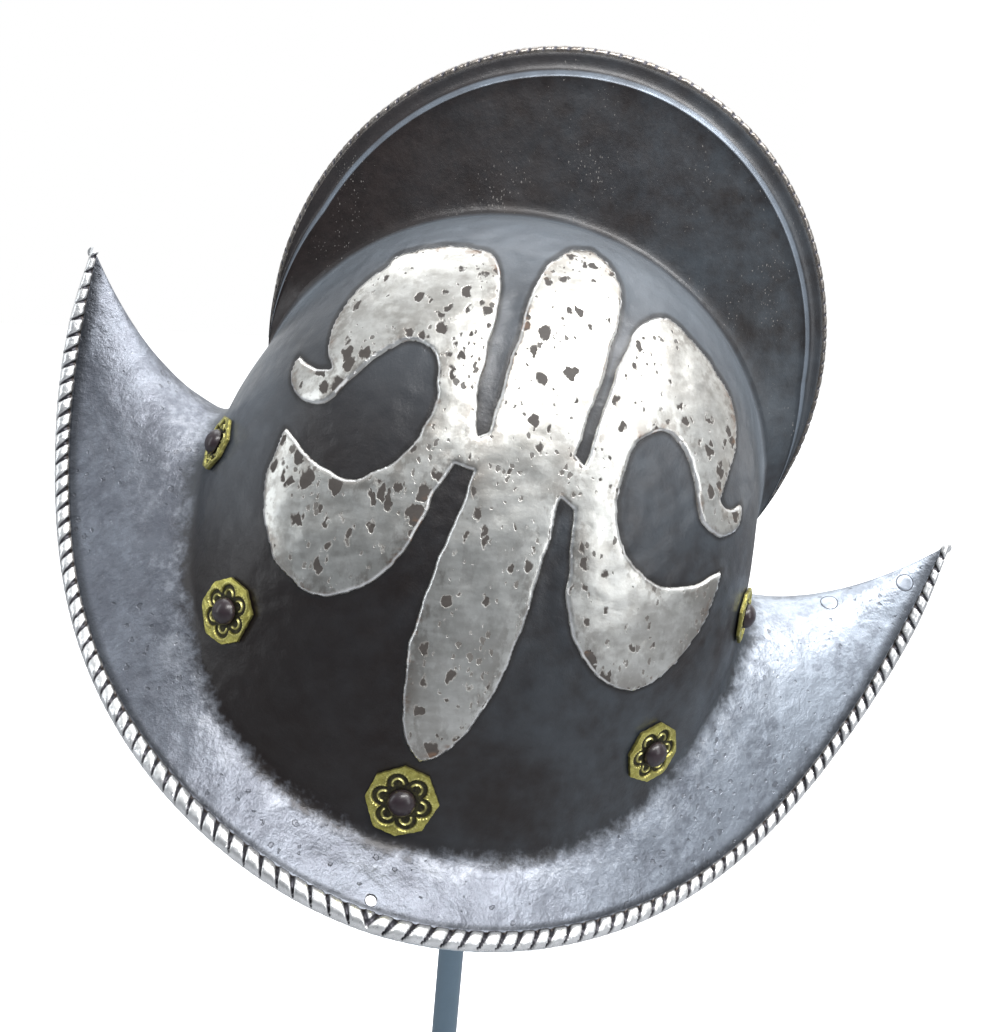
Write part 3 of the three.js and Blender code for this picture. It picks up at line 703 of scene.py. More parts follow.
# ---- finishes ----
def plate_finish():
    c = bpy.context.scene.morion_colours
    material, t, shader, place = new_material("blackened and bright steel")
    if not t:
        return material
    along = put(t, "ShaderNodeSeparateXYZ", Vector=place)
    cloud = use(t, mottle_group(), Vector=place, Scale=22.0, Softness=0.2)
    patch = use(t, mottle_group(), Vector=place, Scale=75.0, Softness=0.17)
    smudge = use(t, mottle_group(), Vector=place, Scale=48.0, Softness=0.14)
    fleck = noise_of(t, place, Scale=900.0, Detail=3.0, Roughness=0.7).outputs[0]
    brim, comb = mask_of(t, "brim"), mask_of(t, "comb")
    # the black ground, with a painted blue-grey reflection in clouds, towards the lit +X end and on the upper
    # skull; browner on the comb
    toward_lit_end = spread(t, along.outputs[0], -0.09, 0.12)
    # a painted reflection on the upper skull at the -X end
    shoulder_sheen = spread(t, along.outputs[0], -0.055, -0.105, 0.0, 0.85)
    shoulder_sheen = times(t, shoulder_sheen, spread(t, along.outputs[2], 0.33, 0.42))
    shoulder_sheen = times(t, shoulder_sheen, calc(t, "SUBTRACT", 1.0, comb))
    crown = calc(t, "MAXIMUM", mask_of(t, "crown"), shoulder_sheen)
    blue = times(t, times_plus(t, toward_lit_end, 0.62, 0.03), cloud)
    blue = calc(t, "MAXIMUM", blue, times(t, crown, spread(t, cloud, -0.4, 0.9)), clamp=True)
    ground = blend(t, blue, tuple(c.ground), tuple(c.ground_blue_sheen))
    # a lighter painted reflection along the upper skull
    ground = blend(t, times(t, crown, 0.75), ground, (0.16, 0.18, 0.205, 1))
    brown = times(t, times(t, comb, calc(t, "SUBTRACT", 1.0, toward_lit_end)), patch)
    ground = blend(t, times(t, brown, 0.55), ground, (0.018, 0.010, 0.009, 1))
    # pale scratches that gather in clusters on the comb
    tall = put(t, "ShaderNodeMapping", Vector=place, Scale=(1.0, 1.0, 0.6))
    scratch = use(t, pits_group(), Vector=tall.outputs[0], Scale=1300.0, Cluster=55.0, Coverage=-0.12)
    scratch = times(t, times(t, scratch, comb), 0.4)
    ground = blend(t, scratch, ground, (0.33, 0.31, 0.29, 1))
    # painted shade in the creased ground beside a lily, a dark grey tone on the comb's border band, and a
    # painted highlight along the bevelled step at the edge of the comb's panel
    lily = mask_of(t, "lily")
    crease_shade = times(t, spread(t, lily, -1.6, -0.2), 0.75)
    ground = blend(t, crease_shade, ground, (0.010, 0.009, 0.009, 1))
    border = mask_of(t, "border")
    ground = blend(t, times(t, border, 0.3), ground, (0.035, 0.036, 0.04, 1))
    # painted highlight: a pale blue-grey line along the bevelled step at the panel's edge
    bevel = times(t, mask_of(t, "bevel"), spread(t, cloud, 0.0, 0.9, 0.55, 0.95))
    ground = blend(t, bevel, ground, (0.17, 0.20, 0.24, 1))
    # the brighter brim, with dull patches, painted light rising towards the +X end, and stained pits
    # painted light: the brim is lighter towards the +X end, where the key light falls
    far = spread(t, along.outputs[0], -0.02, 0.15)
    light = calc(t, "ADD", times(t, patch, 0.2), times_plus(t, far, 0.66, 0.06), clamp=True)
    bright = blend(t, light, tuple(c.brim_dull_and_shaded), tuple(c.brim_clean_and_lit))
    bright = blend(t, times(t, spread(t, fleck, 0.58, 0.75), 0.25), bright, (0.62, 0.64, 0.68, 1))
    smear = times(t, spread(t, smudge, 0.7, 0.1), 0.4)
    bright = blend(t, smear, bright, (0.10, 0.105, 0.125, 1))
    stain = use(t, pits_group(), Vector=place, Scale=300.0, Cluster=30.0, Coverage=0.0)
    bright = blend(t, times(t, stain, 0.35), bright, (0.09, 0.09, 0.10, 1))
    # a pale ragged band just outside the base: painted highlight, partly wear
    worn = times(t, spread(t, brim, 0.25, 0.6), spread(t, brim, 1.9, 0.7))
    worn = times(t, worn, spread(t, patch, 0.3, 0.9))
    bright = blend(t, times(t, worn, times(t, smudge, 0.26)), bright, (0.66, 0.67, 0.70, 1))
    # a dark band beside the roped edge: painted shade where the brim turns up to the roll, partly patina in
    # that hollow
    bright = blend(t, times(t, spread(t, brim, 2.72, 2.95), 0.8), bright, (0.05, 0.053, 0.06, 1))
    ragged = calc(t, "ADD", brim, times(t, calc(t, "SUBTRACT", patch, 0.5), 0.38))
    shore = spread(t, ragged, 0.2, 0.75)
    colour_ = blend(t, shore, ground, bright)
    inside = mask_of(t, "inside")
    rusty = blend(t, patch, (0.035, 0.027, 0.022, 1), (0.085, 0.055, 0.036, 1))
    colour_ = blend(t, inside, colour_, rusty)
    metal = times_plus(t, shore, 0.75, 0.15)
    metal = calc(t, "ADD", metal, times(t, bevel, 0.4))
    metal = times(t, metal, times_plus(t, inside, -0.7, 1.0), clamp=True)
    rough = times_plus(t, patch, 0.08, times_plus(t, fleck, 0.16, 0.24))
    rough = calc(t, "ADD", rough, times(t, shore, 0.06))
    rough = calc(t, "ADD", rough, times(t, inside, 0.3), clamp=True)
    coarse = use(t, hammer_group(), Vector=place, Scale=95.0, Grain=0.12)
    grit = noise_of(t, place, Scale=520.0, Detail=4.0, Roughness=0.65).outputs[0]
    coarse = times(t, coarse, times_plus(t, comb, -0.75, 1.0))
    wave = relief(t, coarse, 0.0013, 0.6)
    fine = times(t, grit, times_plus(t, shore, 0.75, 0.25))
    fine = calc(t, "SUBTRACT", fine, times(t, stain, times(t, shore, 0.8)))
    bumps = relief(t, fine, 0.00045, 0.8, wave)
    connect(t, shader, Base_Color=colour_, Metallic=metal, Roughness=rough, Normal=bumps)
    shader.inputs["Specular IOR Level"].default_value = 0.55
    return material


def lily_finish():
    c = bpy.context.scene.morion_colours
    material, t, shader, place = new_material("bright embossed steel")
    if not t:
        return material
    lean = put(t, "ShaderNodeMapping", Vector=place, Rotation=(0, 0.45, 0), Scale=(1.0, 1.0, 0.68))
    edge = mask_of(t, "edge")
    cloud = use(t, mottle_group(), Vector=place, Scale=38.0, Softness=0.18)
    wipe = put(t, "ShaderNodeMapping", Vector=place, Scale=(0.35, 1.0, 1.0))
    streak = noise_of(t, wipe.outputs[0], Scale=420.0, Detail=4.0, Roughness=0.6).outputs[0]
    tone = blend(t, cloud, (0.44, 0.43, 0.40, 1), tuple(c.lily))
    tone = blend(t, times(t, spread(t, streak, 0.35, 0.7), 0.35), tone, (0.80, 0.80, 0.78, 1))
    patina = use(t, mottle_group(), Vector=lean.outputs[0], Scale=95.0, Softness=0.13)
    film = times_plus(t, spread(t, edge, 9.0, 1.0), 0.45, 0.22)
    film = times(t, spread(t, patina, 0.75, 0.15), film)
    tone = blend(t, film, tone, (0.24, 0.215, 0.19, 1))
    big = use(t, pits_group(), Vector=lean.outputs[0], Scale=190.0, Cluster=32.0, Coverage=0.165)
    small = use(t, pits_group(), Vector=lean.outputs[0], Scale=430.0, Cluster=50.0, Coverage=0.06)
    stain = calc(t, "MAXIMUM", big, times(t, small, 0.85))
    tone = blend(t, stain, tone, blend(t, streak, tuple(c.pit), (0.062, 0.055, 0.050, 1)))
    near = spread(t, edge, 4.5, 0.6)
    rust = times(t, times(t, near, spread(t, cloud, 0.55, 0.1)), spread(t, streak, 0.45, 0.62))
    tone = blend(t, times(t, rust, 0.75), tone, tuple(c.rust))
    # painted highlight along the top of the lily's edge, and painted shade on the steep wall of its step
    lip_highlight = times(t, spread(t, edge, 0.35, 0.75), spread(t, edge, 1.5, 0.9))
    tone = blend(t, times(t, lip_highlight, 0.5), tone, (0.86, 0.87, 0.88, 1))
    tone = blend(t, spread(t, edge, 0.35, 0.05), tone, (0.03, 0.027, 0.025, 1))
    rough = times_plus(t, streak, 0.16, times_plus(t, stain, 0.25, 0.25), clamp=True)
    metal = times_plus(t, stain, -0.9, 0.95, clamp=True)
    wave = relief(t, use(t, hammer_group(), Vector=place, Scale=85.0, Grain=0.08), 0.0012, 0.45)
    fine = times_plus(t, streak, 0.14, times(t, stain, -0.6))
    bumps = relief(t, fine, 0.0003, 0.6, wave)
    connect(t, shader, Base_Color=tone, Metallic=metal, Roughness=rough, Normal=bumps)
    return material


def rope_finish(name, clean, worn, worn_share):
    c = bpy.context.scene.morion_colours
    material, t, shader, place = new_material(name)
    if not t:
        return material
    cut = mask_of(t, "cut")
    patch = use(t, mottle_group(), Vector=place, Scale=120.0, Softness=0.16)
    grit = noise_of(t, place, Scale=900.0, Detail=3.0).outputs[0]
    tone = blend(t, times(t, patch, worn_share), clean, worn)
    # painted shade in the filed notches
    tone = blend(t, spread(t, cut, 0.02, 0.4), tone, (0.075, 0.073, 0.083, 1))
    seam = mask_of(t, "seam")
    tone = blend(t, times(t, seam, 0.85), tone, tuple(c.pit))
    rough = times_plus(t, grit, 0.2, times_plus(t, cut, 0.2, 0.2), clamp=True)
    connect(t, shader, Base_Color=tone, Metallic=0.9, Roughness=rough, Normal=relief(t, grit, 0.00025, 0.5))
    return material


def brass_finish():
    c = bpy.context.scene.morion_colours
    material, t, shader, place = new_material("aged brass")
    if not t:
        return material
    recess, raised = mask_of(t, "recess"), mask_of(t, "raised")
    patch = use(t, mottle_group(), Vector=place, Scale=260.0, Softness=0.15)
    grit = noise_of(t, place, Scale=1400.0, Detail=3.0).outputs[0]
    tone = blend(t, patch, (0.33, 0.29, 0.07, 1), tuple(c.brass))
    tone = blend(t, times(t, spread(t, grit, 0.5, 0.72), 0.35), tone, (0.74, 0.70, 0.30, 1))
    dark = times(t, recess, times_plus(t, grit, 0.3, 0.8), clamp=True)
    tone = blend(t, dark, tone, tuple(c.brass_dark))
    # painted highlight on the rosette's ridges
    tone = blend(t, times(t, raised, 0.8, clamp=True), tone, (0.80, 0.75, 0.32, 1))
    rough = times_plus(t, grit, 0.2, times_plus(t, recess, 0.2, 0.24), clamp=True)
    wave = relief(t, use(t, hammer_group(), Vector=place, Scale=330.0, Grain=0.15), 0.0006, 0.5)
    bumps = relief(t, grit, 0.0002, 0.4, wave)
    connect(t, shader, Base_Color=tone, Metallic=0.9, Roughness=rough, Normal=bumps)
    return material


def plain_metal(name, dark, light, roughness, metallic, coat=0.0, scale=120.0, wave_depth=0.0004):
    material, t, shader, place = new_material(name)
    if not t:
        return material
    patch = use(t, mottle_group(), Vector=place, Scale=scale, Softness=0.2)
    grit = noise_of(t, place, Scale=1100.0, Detail=3.0).outputs[0]
    seam = times(t, mask_of(t, "seam"), 0.8)
    tone = blend(t, seam, blend(t, patch, dark, light), (0.03, 0.03, 0.034, 1))
    rough = times_plus(t, grit, 0.14, roughness - 0.07, clamp=True)
    wave = relief(t, use(t, hammer_group(), Vector=place, Scale=scale * 1.5, Grain=0.12), wave_depth, 0.5)
    bumps = relief(t, grit, 0.0001, 0.3, wave)
    connect(t, shader, Base_Color=tone, Metallic=metallic, Roughness=rough, Normal=bumps)
    shader.inputs["Coat Weight"].default_value = coat
    shader.inputs["Coat Roughness"].default_value = 0.12
    return material


def rod_finish():
    """Satin steel drawn along its length."""
    c = bpy.context.scene.morion_colours
    material, t, shader, place = new_material("satin stand steel")
    if not t:
        return material
    pull = put(t, "ShaderNodeMapping", Vector=place, Scale=(1.0, 1.0, 0.03))
    draw = noise_of(t, pull.outputs[0], Scale=1500.0, Detail=3.0).outputs[0]
    patch = use(t, mottle_group(), Vector=place, Scale=30.0, Softness=0.25)
    base = tuple(c.stand)
    tone = blend(t, times(t, patch, 0.4), base, tuple(v * 1.35 for v in base[:3]) + (1,))
    rough = times_plus(t, draw, 0.2, 0.26)
    connect(t, shader, Base_Color=tone, Metallic=0.75, Roughness=rough, Normal=relief(t, draw, 0.00008, 0.5))
    return material


def rubber_finish():
    material, t, shader, place = new_material("black rubber")
    if not t:
        return material
    grit = noise_of(t, place, Scale=900.0, Detail=4.0).outputs[0]
    tone = blend(t, grit, (0.010, 0.010, 0.011, 1), (0.022, 0.022, 0.024, 1))
    rough = times_plus(t, grit, 0.2, 0.6)
    connect(t, shader, Base_Color=tone, Roughness=rough, Normal=relief(t, grit, 0.0002, 0.5))
    return material


# ---- pieces ----
PLATE_COLUMNS = 236
INNER_SKIP = 4


def spaced_angles(count, easing=0.35):
    u = np.linspace(0, 1, count)
    return math.pi * (u - easing * np.sin(2 * math.pi * u) / (2 * math.pi))


def build_plate():
    sizes = bpy.context.scene.morion_sizes
    angle = spaced_angles(PLATE_COLUMNS)
    outer, marks = plate_rows(angle)
    n = surface_normals(outer)
    outline = lily_outline()
    last = outer.shape[1]
    skull = np.array([m.get("skull", 0) for m in marks], bool)
    lily = np.full(outer.shape[:2], -50.0)
    side_view = outer[:, skull][..., [0, 2]].reshape(-1, 2)
    lily[:, skull] = inside_distance(side_view, outline).reshape(len(angle), -1)
    swell = sizes.lily_swell * 1000 * np.where(lily > 0, 1.0, np.exp(-((lily / 2.4) ** 2)))
    free = ease(-outer[..., 1] / 6.0)
    calm = np.array([0.0 if m.get("border", 0) > 0 or m.get("bevel", 0) else 1.0 for m in marks])
    calm[-2:] = 0.0
    wave = ripple(outer, 17.0, 1.0) + ripple(outer, 7.0, 0.45, 31.7)
    ends = np.minimum(1, [m.get("brim", 0) for m in marks])
    height = wave * sizes.planish * 1000 * calm * (0.45 + 0.55 * ends) * free + swell
    skin = outer + n * height[..., None]
    skin[..., 1] = np.minimum(skin[..., 1], 0)

    _, root, axis, tall, w = comb_lines(angle)
    inner = [rim_lines(angle)[0]]
    first = int(np.argmax(skull))
    foot = first + SKULL_ROWS
    close = range(foot - 5, foot + FOOT_ROWS + 5)
    picks = [j for j in range(last - 1, first - 1, -1) if j in close or (last - 1 - j) % INNER_SKIP == 0]
    for j in picks:
        p = skin[:, j] - n[:, j] * WALL
        p[:, 1] = np.minimum(p[:, 1], 0.35 * skin[:, j, 1])
        inner.append(p)
    slot = np.maximum(0, tall - COMB_HOLLOW_TOP)
    deep = root - axis * (1.3 * WALL * (1 - np.minimum(1, slot / 30)))[:, None]
    for share, half in ((0.0, CROWN_HALF - WALL), (0.5, (CROWN_HALF - WALL) * 0.5 + 0.6), (1.0, 0.0)):
        p = deep + axis * (slot * share)[:, None]
        p[:, 1] = -half * w
        inner.append(p)
    points = np.concatenate([skin, np.stack(inner, 1)], 1)
    points[[0, -1], :, 1] = 0
    points[:, [0, -1], 1] = 0

    obj, i, j = draped_grid("helmet_plate", to_world(points))
    rows = points.shape[1]
    for name in ("brim", "comb", "crown", "border", "bevel"):
        line = np.zeros(rows)
        line[:last] = [m.get(name, 0) for m in marks]
        write_mask(obj, name, line[j])
    write_mask(obj, "inside", (np.arange(rows) > last).astype(float)[j])
    full = np.full((len(angle), rows), -50.0)
    full[:, :last] = lily
    write_mask(obj, "lily", full[i, j])
    return obj


def rim_lines(angle):
    """Heart of the brim's turned edge, its way out, the way up from the brim, and its radius."""
    inner = np.clip(angle, 1e-3, math.pi - 1e-3)
    e = 0.004
    edge = brim_at(angle, 1)
    ruled = unit(edge - brim_at(angle, 0.78))
    tangent = brim_at(inner + e, 1) - brim_at(inner - e, 1)
    up = unit(np.cross(tangent, ruled))
    ends = (angle < 1e-6) | (angle > math.pi - 1e-6)
    up[ends, 1] = 0
    up = unit(up)
    square = unit(np.cross(up, tangent))
    square *= np.where((square * ruled).sum(-1) < 0, -1, 1)[:, None]
    mix = ease(np.minimum(angle, math.pi - angle) / math.radians(25))
    out = ruled + (square - ruled) * mix[:, None]
    out = unit(out - up * (out * up).sum(-1)[:, None])
    thick = ROLL_TIP + (ROLL_SIDE - ROLL_TIP) * ease(mix * 1.4)
    heart = edge + out * thick[:, None] - up * (0.36 * thick)[:, None]
    return heart, out, up, thick


def even_angles(curve, count):
    """Angles that part a curve into even lengths, and the length from its middle."""
    fine = np.linspace(0, math.pi, 6000)
    p = curve(fine)
    run = np.concatenate([[0], np.cumsum(np.linalg.norm(np.diff(p, axis=0), axis=-1))])
    at = np.linspace(0, run[-1], count)
    angle = np.interp(at, run, fine)
    middle = np.interp(math.pi / 2, fine, run)
    return angle, at - middle


ROPE_STEPS, ROPE_SIDES = 1060, 24
BEAD_STEPS, BEAD_SIDES = 760, 18
NOTCH_SLANT, NOTCH_HALF = 3.8, 1.15  # millimetres along the brim's edge
NICK_SLANT, NICK_HALF, NICK_DEPTH = 1.1, 0.75, 0.42  # the same for the comb's edge


def hand(k, seed):
    """A steady value from -1 to 1 for the k-th stroke of a hand tool."""
    return 2 * np.modf(np.abs(np.sin(k * 12.9898 + seed * 78.233)) * 43758.5453)[0] - 1


def notches(run, phi, pitch, lift):
    """How deep, from 0 to 1, a filed notch is at each length along an edge and angle round it.

    A notch is widest where the edge meets the brim and runs out before the outside; lift, from 0
    at the sides to 1 at the peaks, says how much sooner.
    """
    high = 150
    low = 4 + 34 * lift
    away = np.clip((high - phi) / (high - low), 0, 1)
    s = np.abs(run) + NOTCH_SLANT * away
    k = np.floor(s / pitch)
    d = s - (k + 0.5 + 0.07 * hand(k, 1.0)) * pitch
    width = NOTCH_HALF * (1 + 0.22 * hand(k, 2.0)) * (1 - away) ** 0.7 + 0.12
    width *= ease((phi - low) / 12) * ease((high + 14 - phi) / 14)
    return np.where(width > 0.05, np.clip(1 - np.abs(d) / np.maximum(width, 0.05), 0, 1), 0)


def build_rope():
    sizes = bpy.context.scene.morion_sizes
    angle, run = even_angles(lambda a: brim_at(a, 1), ROPE_STEPS)
    heart, out, up, thick = rim_lines(angle)
    phi = np.linspace(-180, 180, ROPE_SIDES + 1)
    a = np.radians(phi)
    lift = (np.cos(angle) ** 2)[:, None]
    cut = notches(run[:, None], phi[None, :], sizes.rope_pitch * 1000, lift)
    small = (thick / ROLL_SIDE)[:, None]
    hollow = sizes.notch_depth * 1000 * np.minimum(1, 1.6 * cut) * small
    grain = ripple(heart, 5.0, 0.10)[:, None] + 0.06 * np.sin(run[:, None] * 1.7 + phi[None, :] / 40)
    radius = thick[:, None] - hollow - 0.1 + grain * 0.6
    p = heart[:, None] + radius[..., None] * (
        out[:, None] * np.cos(a)[None, :, None] + up[:, None] * np.sin(a)[None, :, None]
    )
    edge = brim_at(angle, 1)
    p[..., 1] = np.minimum(p[..., 1], 0.1 * edge[:, None, 1])
    p[[0, -1], :, 1] = 0
    p[:, -1] = p[:, 0]
    obj, i, j = draped_grid("brim_roped_edge", to_world(p))
    write_mask(obj, "cut", cut[i, j])
    seam = ease((phi - 138) / 14) + ease((-95 - phi) / 30)
    write_mask(obj, "seam", np.clip(seam, 0, 1)[j])
    close_up(obj)
    mirror_across(obj)
    close_up(obj, merge=1e-5)
    return obj


def build_comb_bead():
    sizes = bpy.context.scene.morion_sizes
    angle, run = even_angles(lambda a: arc_at(COMB, a), BEAD_STEPS)
    crest, _, axis, _, w = comb_lines(angle)
    bead = sizes.comb_bead * 1000
    a = np.radians(np.linspace(-180, 180, BEAD_SIDES + 1))
    pitch = sizes.comb_pitch * 1000
    s = run[:, None] + NICK_SLANT * np.cos(a)[None, :]
    k = np.floor(s / pitch)
    d = s - (k + 0.5 + 0.08 * hand(k, 3.0)) * pitch
    top = ease((np.sin(a) + 0.45) / 0.4)[None, :]
    cut = np.clip(1 - np.abs(d) / (NICK_HALF * (1 + 0.2 * hand(k, 4.0))), 0, 1) * top
    radius = (bead - NICK_DEPTH * cut + 0.05 * np.sin(s * 2.1)) * w[:, None]
    centre = crest - axis * (bead * 1.05)
    side = np.array([0.0, 1.0, 0.0])
    turn = side * np.cos(a)[None, :, None] + axis[:, None] * np.sin(a)[None, :, None]
    p = centre[:, None] + radius[..., None] * turn
    obj, i, j = draped_grid("comb_roped_edge", to_world(p))
    write_mask(obj, "cut", cut[i, j])
    write_mask(obj, "seam", np.zeros(len(obj.data.vertices)))
    close_up(obj)
    return obj


def build_lily(plate):
    """A conforming raised lily: its outline is exact, and its back is sunk in the plate."""
    sizes = bpy.context.scene.morion_sizes
    outline = lily_outline()
    low, high = outline.min(0), outline.max(0)
    fine = []
    for pitch, least, most in ((0.95, 0.55, 2.6), (1.9, 2.6, 99.0)):
        x = np.arange(low[0], high[0], pitch)
        z = np.arange(low[1], high[1], pitch * 0.866)
        gx, gz = np.meshgrid(x, z)
        gx = gx + (np.arange(len(z)) % 2)[:, None] * pitch / 2
        q = np.stack([gx.ravel(), gz.ravel()], -1)
        d = inside_distance(q, outline)
        fine.append(q[(d > least) & (d <= most)])
    inner = np.concatenate(fine)
    flat = np.concatenate([outline, inner])
    depth = np.concatenate([np.zeros(len(outline)), inside_distance(inner, outline)])
    n = len(outline)
    edges = [(k, (k + 1) % n) for k in range(n)]
    corners = [Vector(p) for p in flat]
    verts, _, faces, origin, _, _ = delaunay_2d_cdt(corners, edges, [list(range(n))], 1, 1e-5)
    flat2 = np.array([[v.x, v.y] for v in verts])
    d = np.array([depth[o[0]] if o else 0.0 for o in origin])

    tree = hit_tree(plate)
    beam = Vector((0, 1, 0))

    def on_plate(q):
        start = to_world(np.c_[q[:, 0], np.full(len(q), -300.0), q[:, 1]])
        return np.array([tree.ray_cast(Vector(p), beam)[0][1] for p in start]) * 1000

    y = on_plate(flat2)
    step = 2.5
    dx = (on_plate(flat2 + [step, 0]) - on_plate(flat2 - [step, 0])) / (2 * step)
    dz = (on_plate(flat2 + [0, step]) - on_plate(flat2 - [0, step])) / (2 * step)
    way = unit(np.stack([dx, -np.ones(len(y)), dz], -1))
    seat = np.stack([flat2[:, 0], y, flat2[:, 1]], -1)
    rise = sizes.lily_rise * 1000
    step_up = np.interp(d, [0, 0.15, 0.5, 1.2, 3.0], [-0.3, 0.3, 0.8, 1.0, 1.08]) * rise
    waves = 0.18 * (1 - np.exp(-d / 7)) + ripple(seat, 13.0, 0.22, 5.0) * ease(d / 2)
    top = seat + way * (step_up + waves)[:, None]
    back = seat - way * 0.9
    count = len(flat2)
    mesh = bpy.data.meshes.new("lily_near")
    rim = [o[0] for o in origin]
    order = {r: k for k, r in enumerate(rim) if r < n}
    loop = [order[k] for k in range(n) if k in order]
    polys = [tuple(f) for f in faces] + [tuple(count + v for v in reversed(f)) for f in faces]
    for p, q in zip(loop, loop[1:] + loop[:1]):
        polys.append((q, p, count + p, count + q))
    mesh.from_pydata(to_world(np.concatenate([top, back])).tolist(), [], polys)
    obj = bpy.data.objects.new("lily_near", mesh)
    bpy.context.scene.collection.objects.link(obj)
    write_mask(obj, "edge", np.concatenate([d, np.zeros(count)]))
    close_up(obj, sharp=60)
    return obj


LOBE_AT, LOBE_RADIUS = 0.515, 0.285  # shares of a rosette's half width
CRESCENT_AT, CRESCENT_RADIUS = 0.485, 0.145
ROSETTE_HOLE = 2.6
DOME_RADIUS, DOME_HIGH = 4.7, 3.4
BOW_LENGTHWISE, BOW_UPWARD = 98, 260  # radii of the skull under a rosette


def flower_height(x, y, half, phase):
    """Height over a rosette's back and masks of its recess and of its raised lines, which carry a painted
    highlight.
    """
    r = np.hypot(x, y) / half
    a = np.arctan2(y, x) + phase
    lobe = np.mod(a + math.pi / 6, math.pi / 3) - math.pi / 6
    across = LOBE_RADIUS**2 - (LOBE_AT * np.sin(lobe)) ** 2
    rim = LOBE_AT * np.cos(lobe) + np.sqrt(np.maximum(across, 0))
    out = (r - rim) * half
    floor = ease(-out / 0.4)
    bead = np.exp(-(((out - 0.42) / 0.36) ** 2)) * (0.55 + 0.45 * np.cos(a * 66))
    lx, ly = r * np.cos(lobe) - CRESCENT_AT, r * np.sin(lobe)
    arc = np.exp(-(((np.hypot(lx, ly) - CRESCENT_RADIUS) * half / 0.27) ** 2))
    arc = arc * ease((np.cos(np.arctan2(ly, lx)) + 0.45) / 0.5)
    rim_wear = ease((1.0 - r) * half / 0.7)
    height = PLATE_THICK * (0.82 + 0.18 * rim_wear) - 0.72 * floor
    height = height + 0.30 * bead * (1 - floor) + 0.62 * arc * floor
    return height, floor * (1 - arc), np.clip(arc * floor + 0.8 * bead * (1 - floor), 0, 1)


def build_rosette(number, width, matrix):
    half = width / 2
    around, across = 216, 40
    theta = np.linspace(0, 2 * math.pi, around + 1)
    corners = np.radians(np.arange(8) * 45.0 + 12 + 7 * hand(np.arange(8) + 10 * number, 5.0))
    reach = half * (1 - 0.035 * (1 + hand(np.arange(8) + 10 * number, 6.0)))
    px, py = reach * np.cos(corners), reach * np.sin(corners)
    hull = np.full(around + 1, half)
    for k in range(8):
        m = (k + 1) % 8
        nx, ny = py[m] - py[k], px[k] - px[m]
        dist = px[k] * nx + py[k] * ny
        down = np.cos(theta) * nx + np.sin(theta) * ny
        hull = np.minimum(hull, np.where(down > 1e-6, dist / np.maximum(down, 1e-6), 1e9))
    hull *= 1 + 0.006 * np.sin(theta * 23 + number)
    share = np.linspace(0, 1, across)[:, None]
    r = ROSETTE_HOLE + (hull[None, :] - ROSETTE_HOLE) * share
    x, y = r * np.cos(theta), r * np.sin(theta)
    height, recess, raised = flower_height(x, y, half, 0.35 * number)

    def bow(x, y):
        return -(x**2) / (2 * BOW_LENGTHWISE) - y**2 / (2 * BOW_UPWARD)

    top = np.stack([x, y, PLATE_OFF + height + bow(x, y)], -1)
    back_r = np.stack([hull, np.full(around + 1, ROSETTE_HOLE)], 0)
    bx, by = back_r * np.cos(theta), back_r * np.sin(theta)
    back = np.stack([bx, by, PLATE_OFF + bow(bx, by)], -1)
    ring = np.concatenate([top, back, top[:1]], 0)
    obj, i, j = draped_grid(f"brass_rosette_{number:02d}", ring / 1000)
    edge = np.zeros((2, around + 1))
    write_mask(obj, "recess", np.concatenate([recess, edge + 0.8, recess[:1]])[i, j])
    write_mask(obj, "raised", np.concatenate([raised, edge, raised[:1]])[i, j])
    obj.data.transform(matrix)
    close_up(obj, merge=4e-6, sharp=40)
    return obj


def placements():
    out = []
    for side in (1, -1):
        for angle, up, width in ROSETTES:
            out.append((skull_frame(angle, up, side), width))
    return out


class MORION_OT_plate(bpy.types.Operator):
    """Builds the raised plate with its comb, skull and brim, and the lilies on both sides"""

    bl_idname = "morion.plate"
    bl_label = "Plate and lilies"

    def execute(self, context):
        plate = build_plate()
        lily = build_lily(plate)
        close_up(plate)
        mirror_across(plate)
        close_up(plate, merge=1e-5)
        angle, out, radius = BRIM_HOLE
        clear_selection()
        bpy.ops.mesh.primitive_cylinder_add(vertices=32, radius=radius / 1000, depth=0.014)
        drill = named("lace_hole_drill")
        drill.data.transform(brim_frame(angle, out))
        choose(plate)
        cut = plate.modifiers.new("lace hole", "BOOLEAN")
        cut.operation, cut.object, cut.solver = "DIFFERENCE", drill, "FAST"
        bpy.ops.object.modifier_apply(modifier=cut.name)
        bpy.data.objects.remove(drill)
        choose(plate)
        bpy.ops.object.shade_smooth_by_angle(angle=math.radians(50))
        settle(plate, plate_finish(), "shell_steel", "helmet_shell")
        far = copy_of(lily, "lily_far", Matrix.Scale(-1, 4, (0, 1, 0)))
        far.data.flip_normals()
        for piece in (lily, far):
            settle(piece, lily_finish(), "shell_steel", "helmet_shell")
        return {"FINISHED"}


class MORION_OT_edges(bpy.types.Operator):
    """Builds the roped edges of the brim and the comb"""

    bl_idname = "morion.edges"
    bl_label = "Roped edges"

    def execute(self, context):
        c = context.scene.morion_colours
        rope = build_rope()
        filed = rope_finish("filed bright edge", tuple(c.rope), (0.55, 0.55, 0.54, 1), 0.5)
        settle(rope, filed, "shell_steel", "helmet_shell")
        bead = build_comb_bead()
        worn = rope_finish("worn comb edge", (0.30, 0.28, 0.26, 1), (0.12, 0.10, 0.085, 1), 0.8)
        settle(bead, worn, "shell_steel", "helmet_shell")
        return {"FINISHED"}


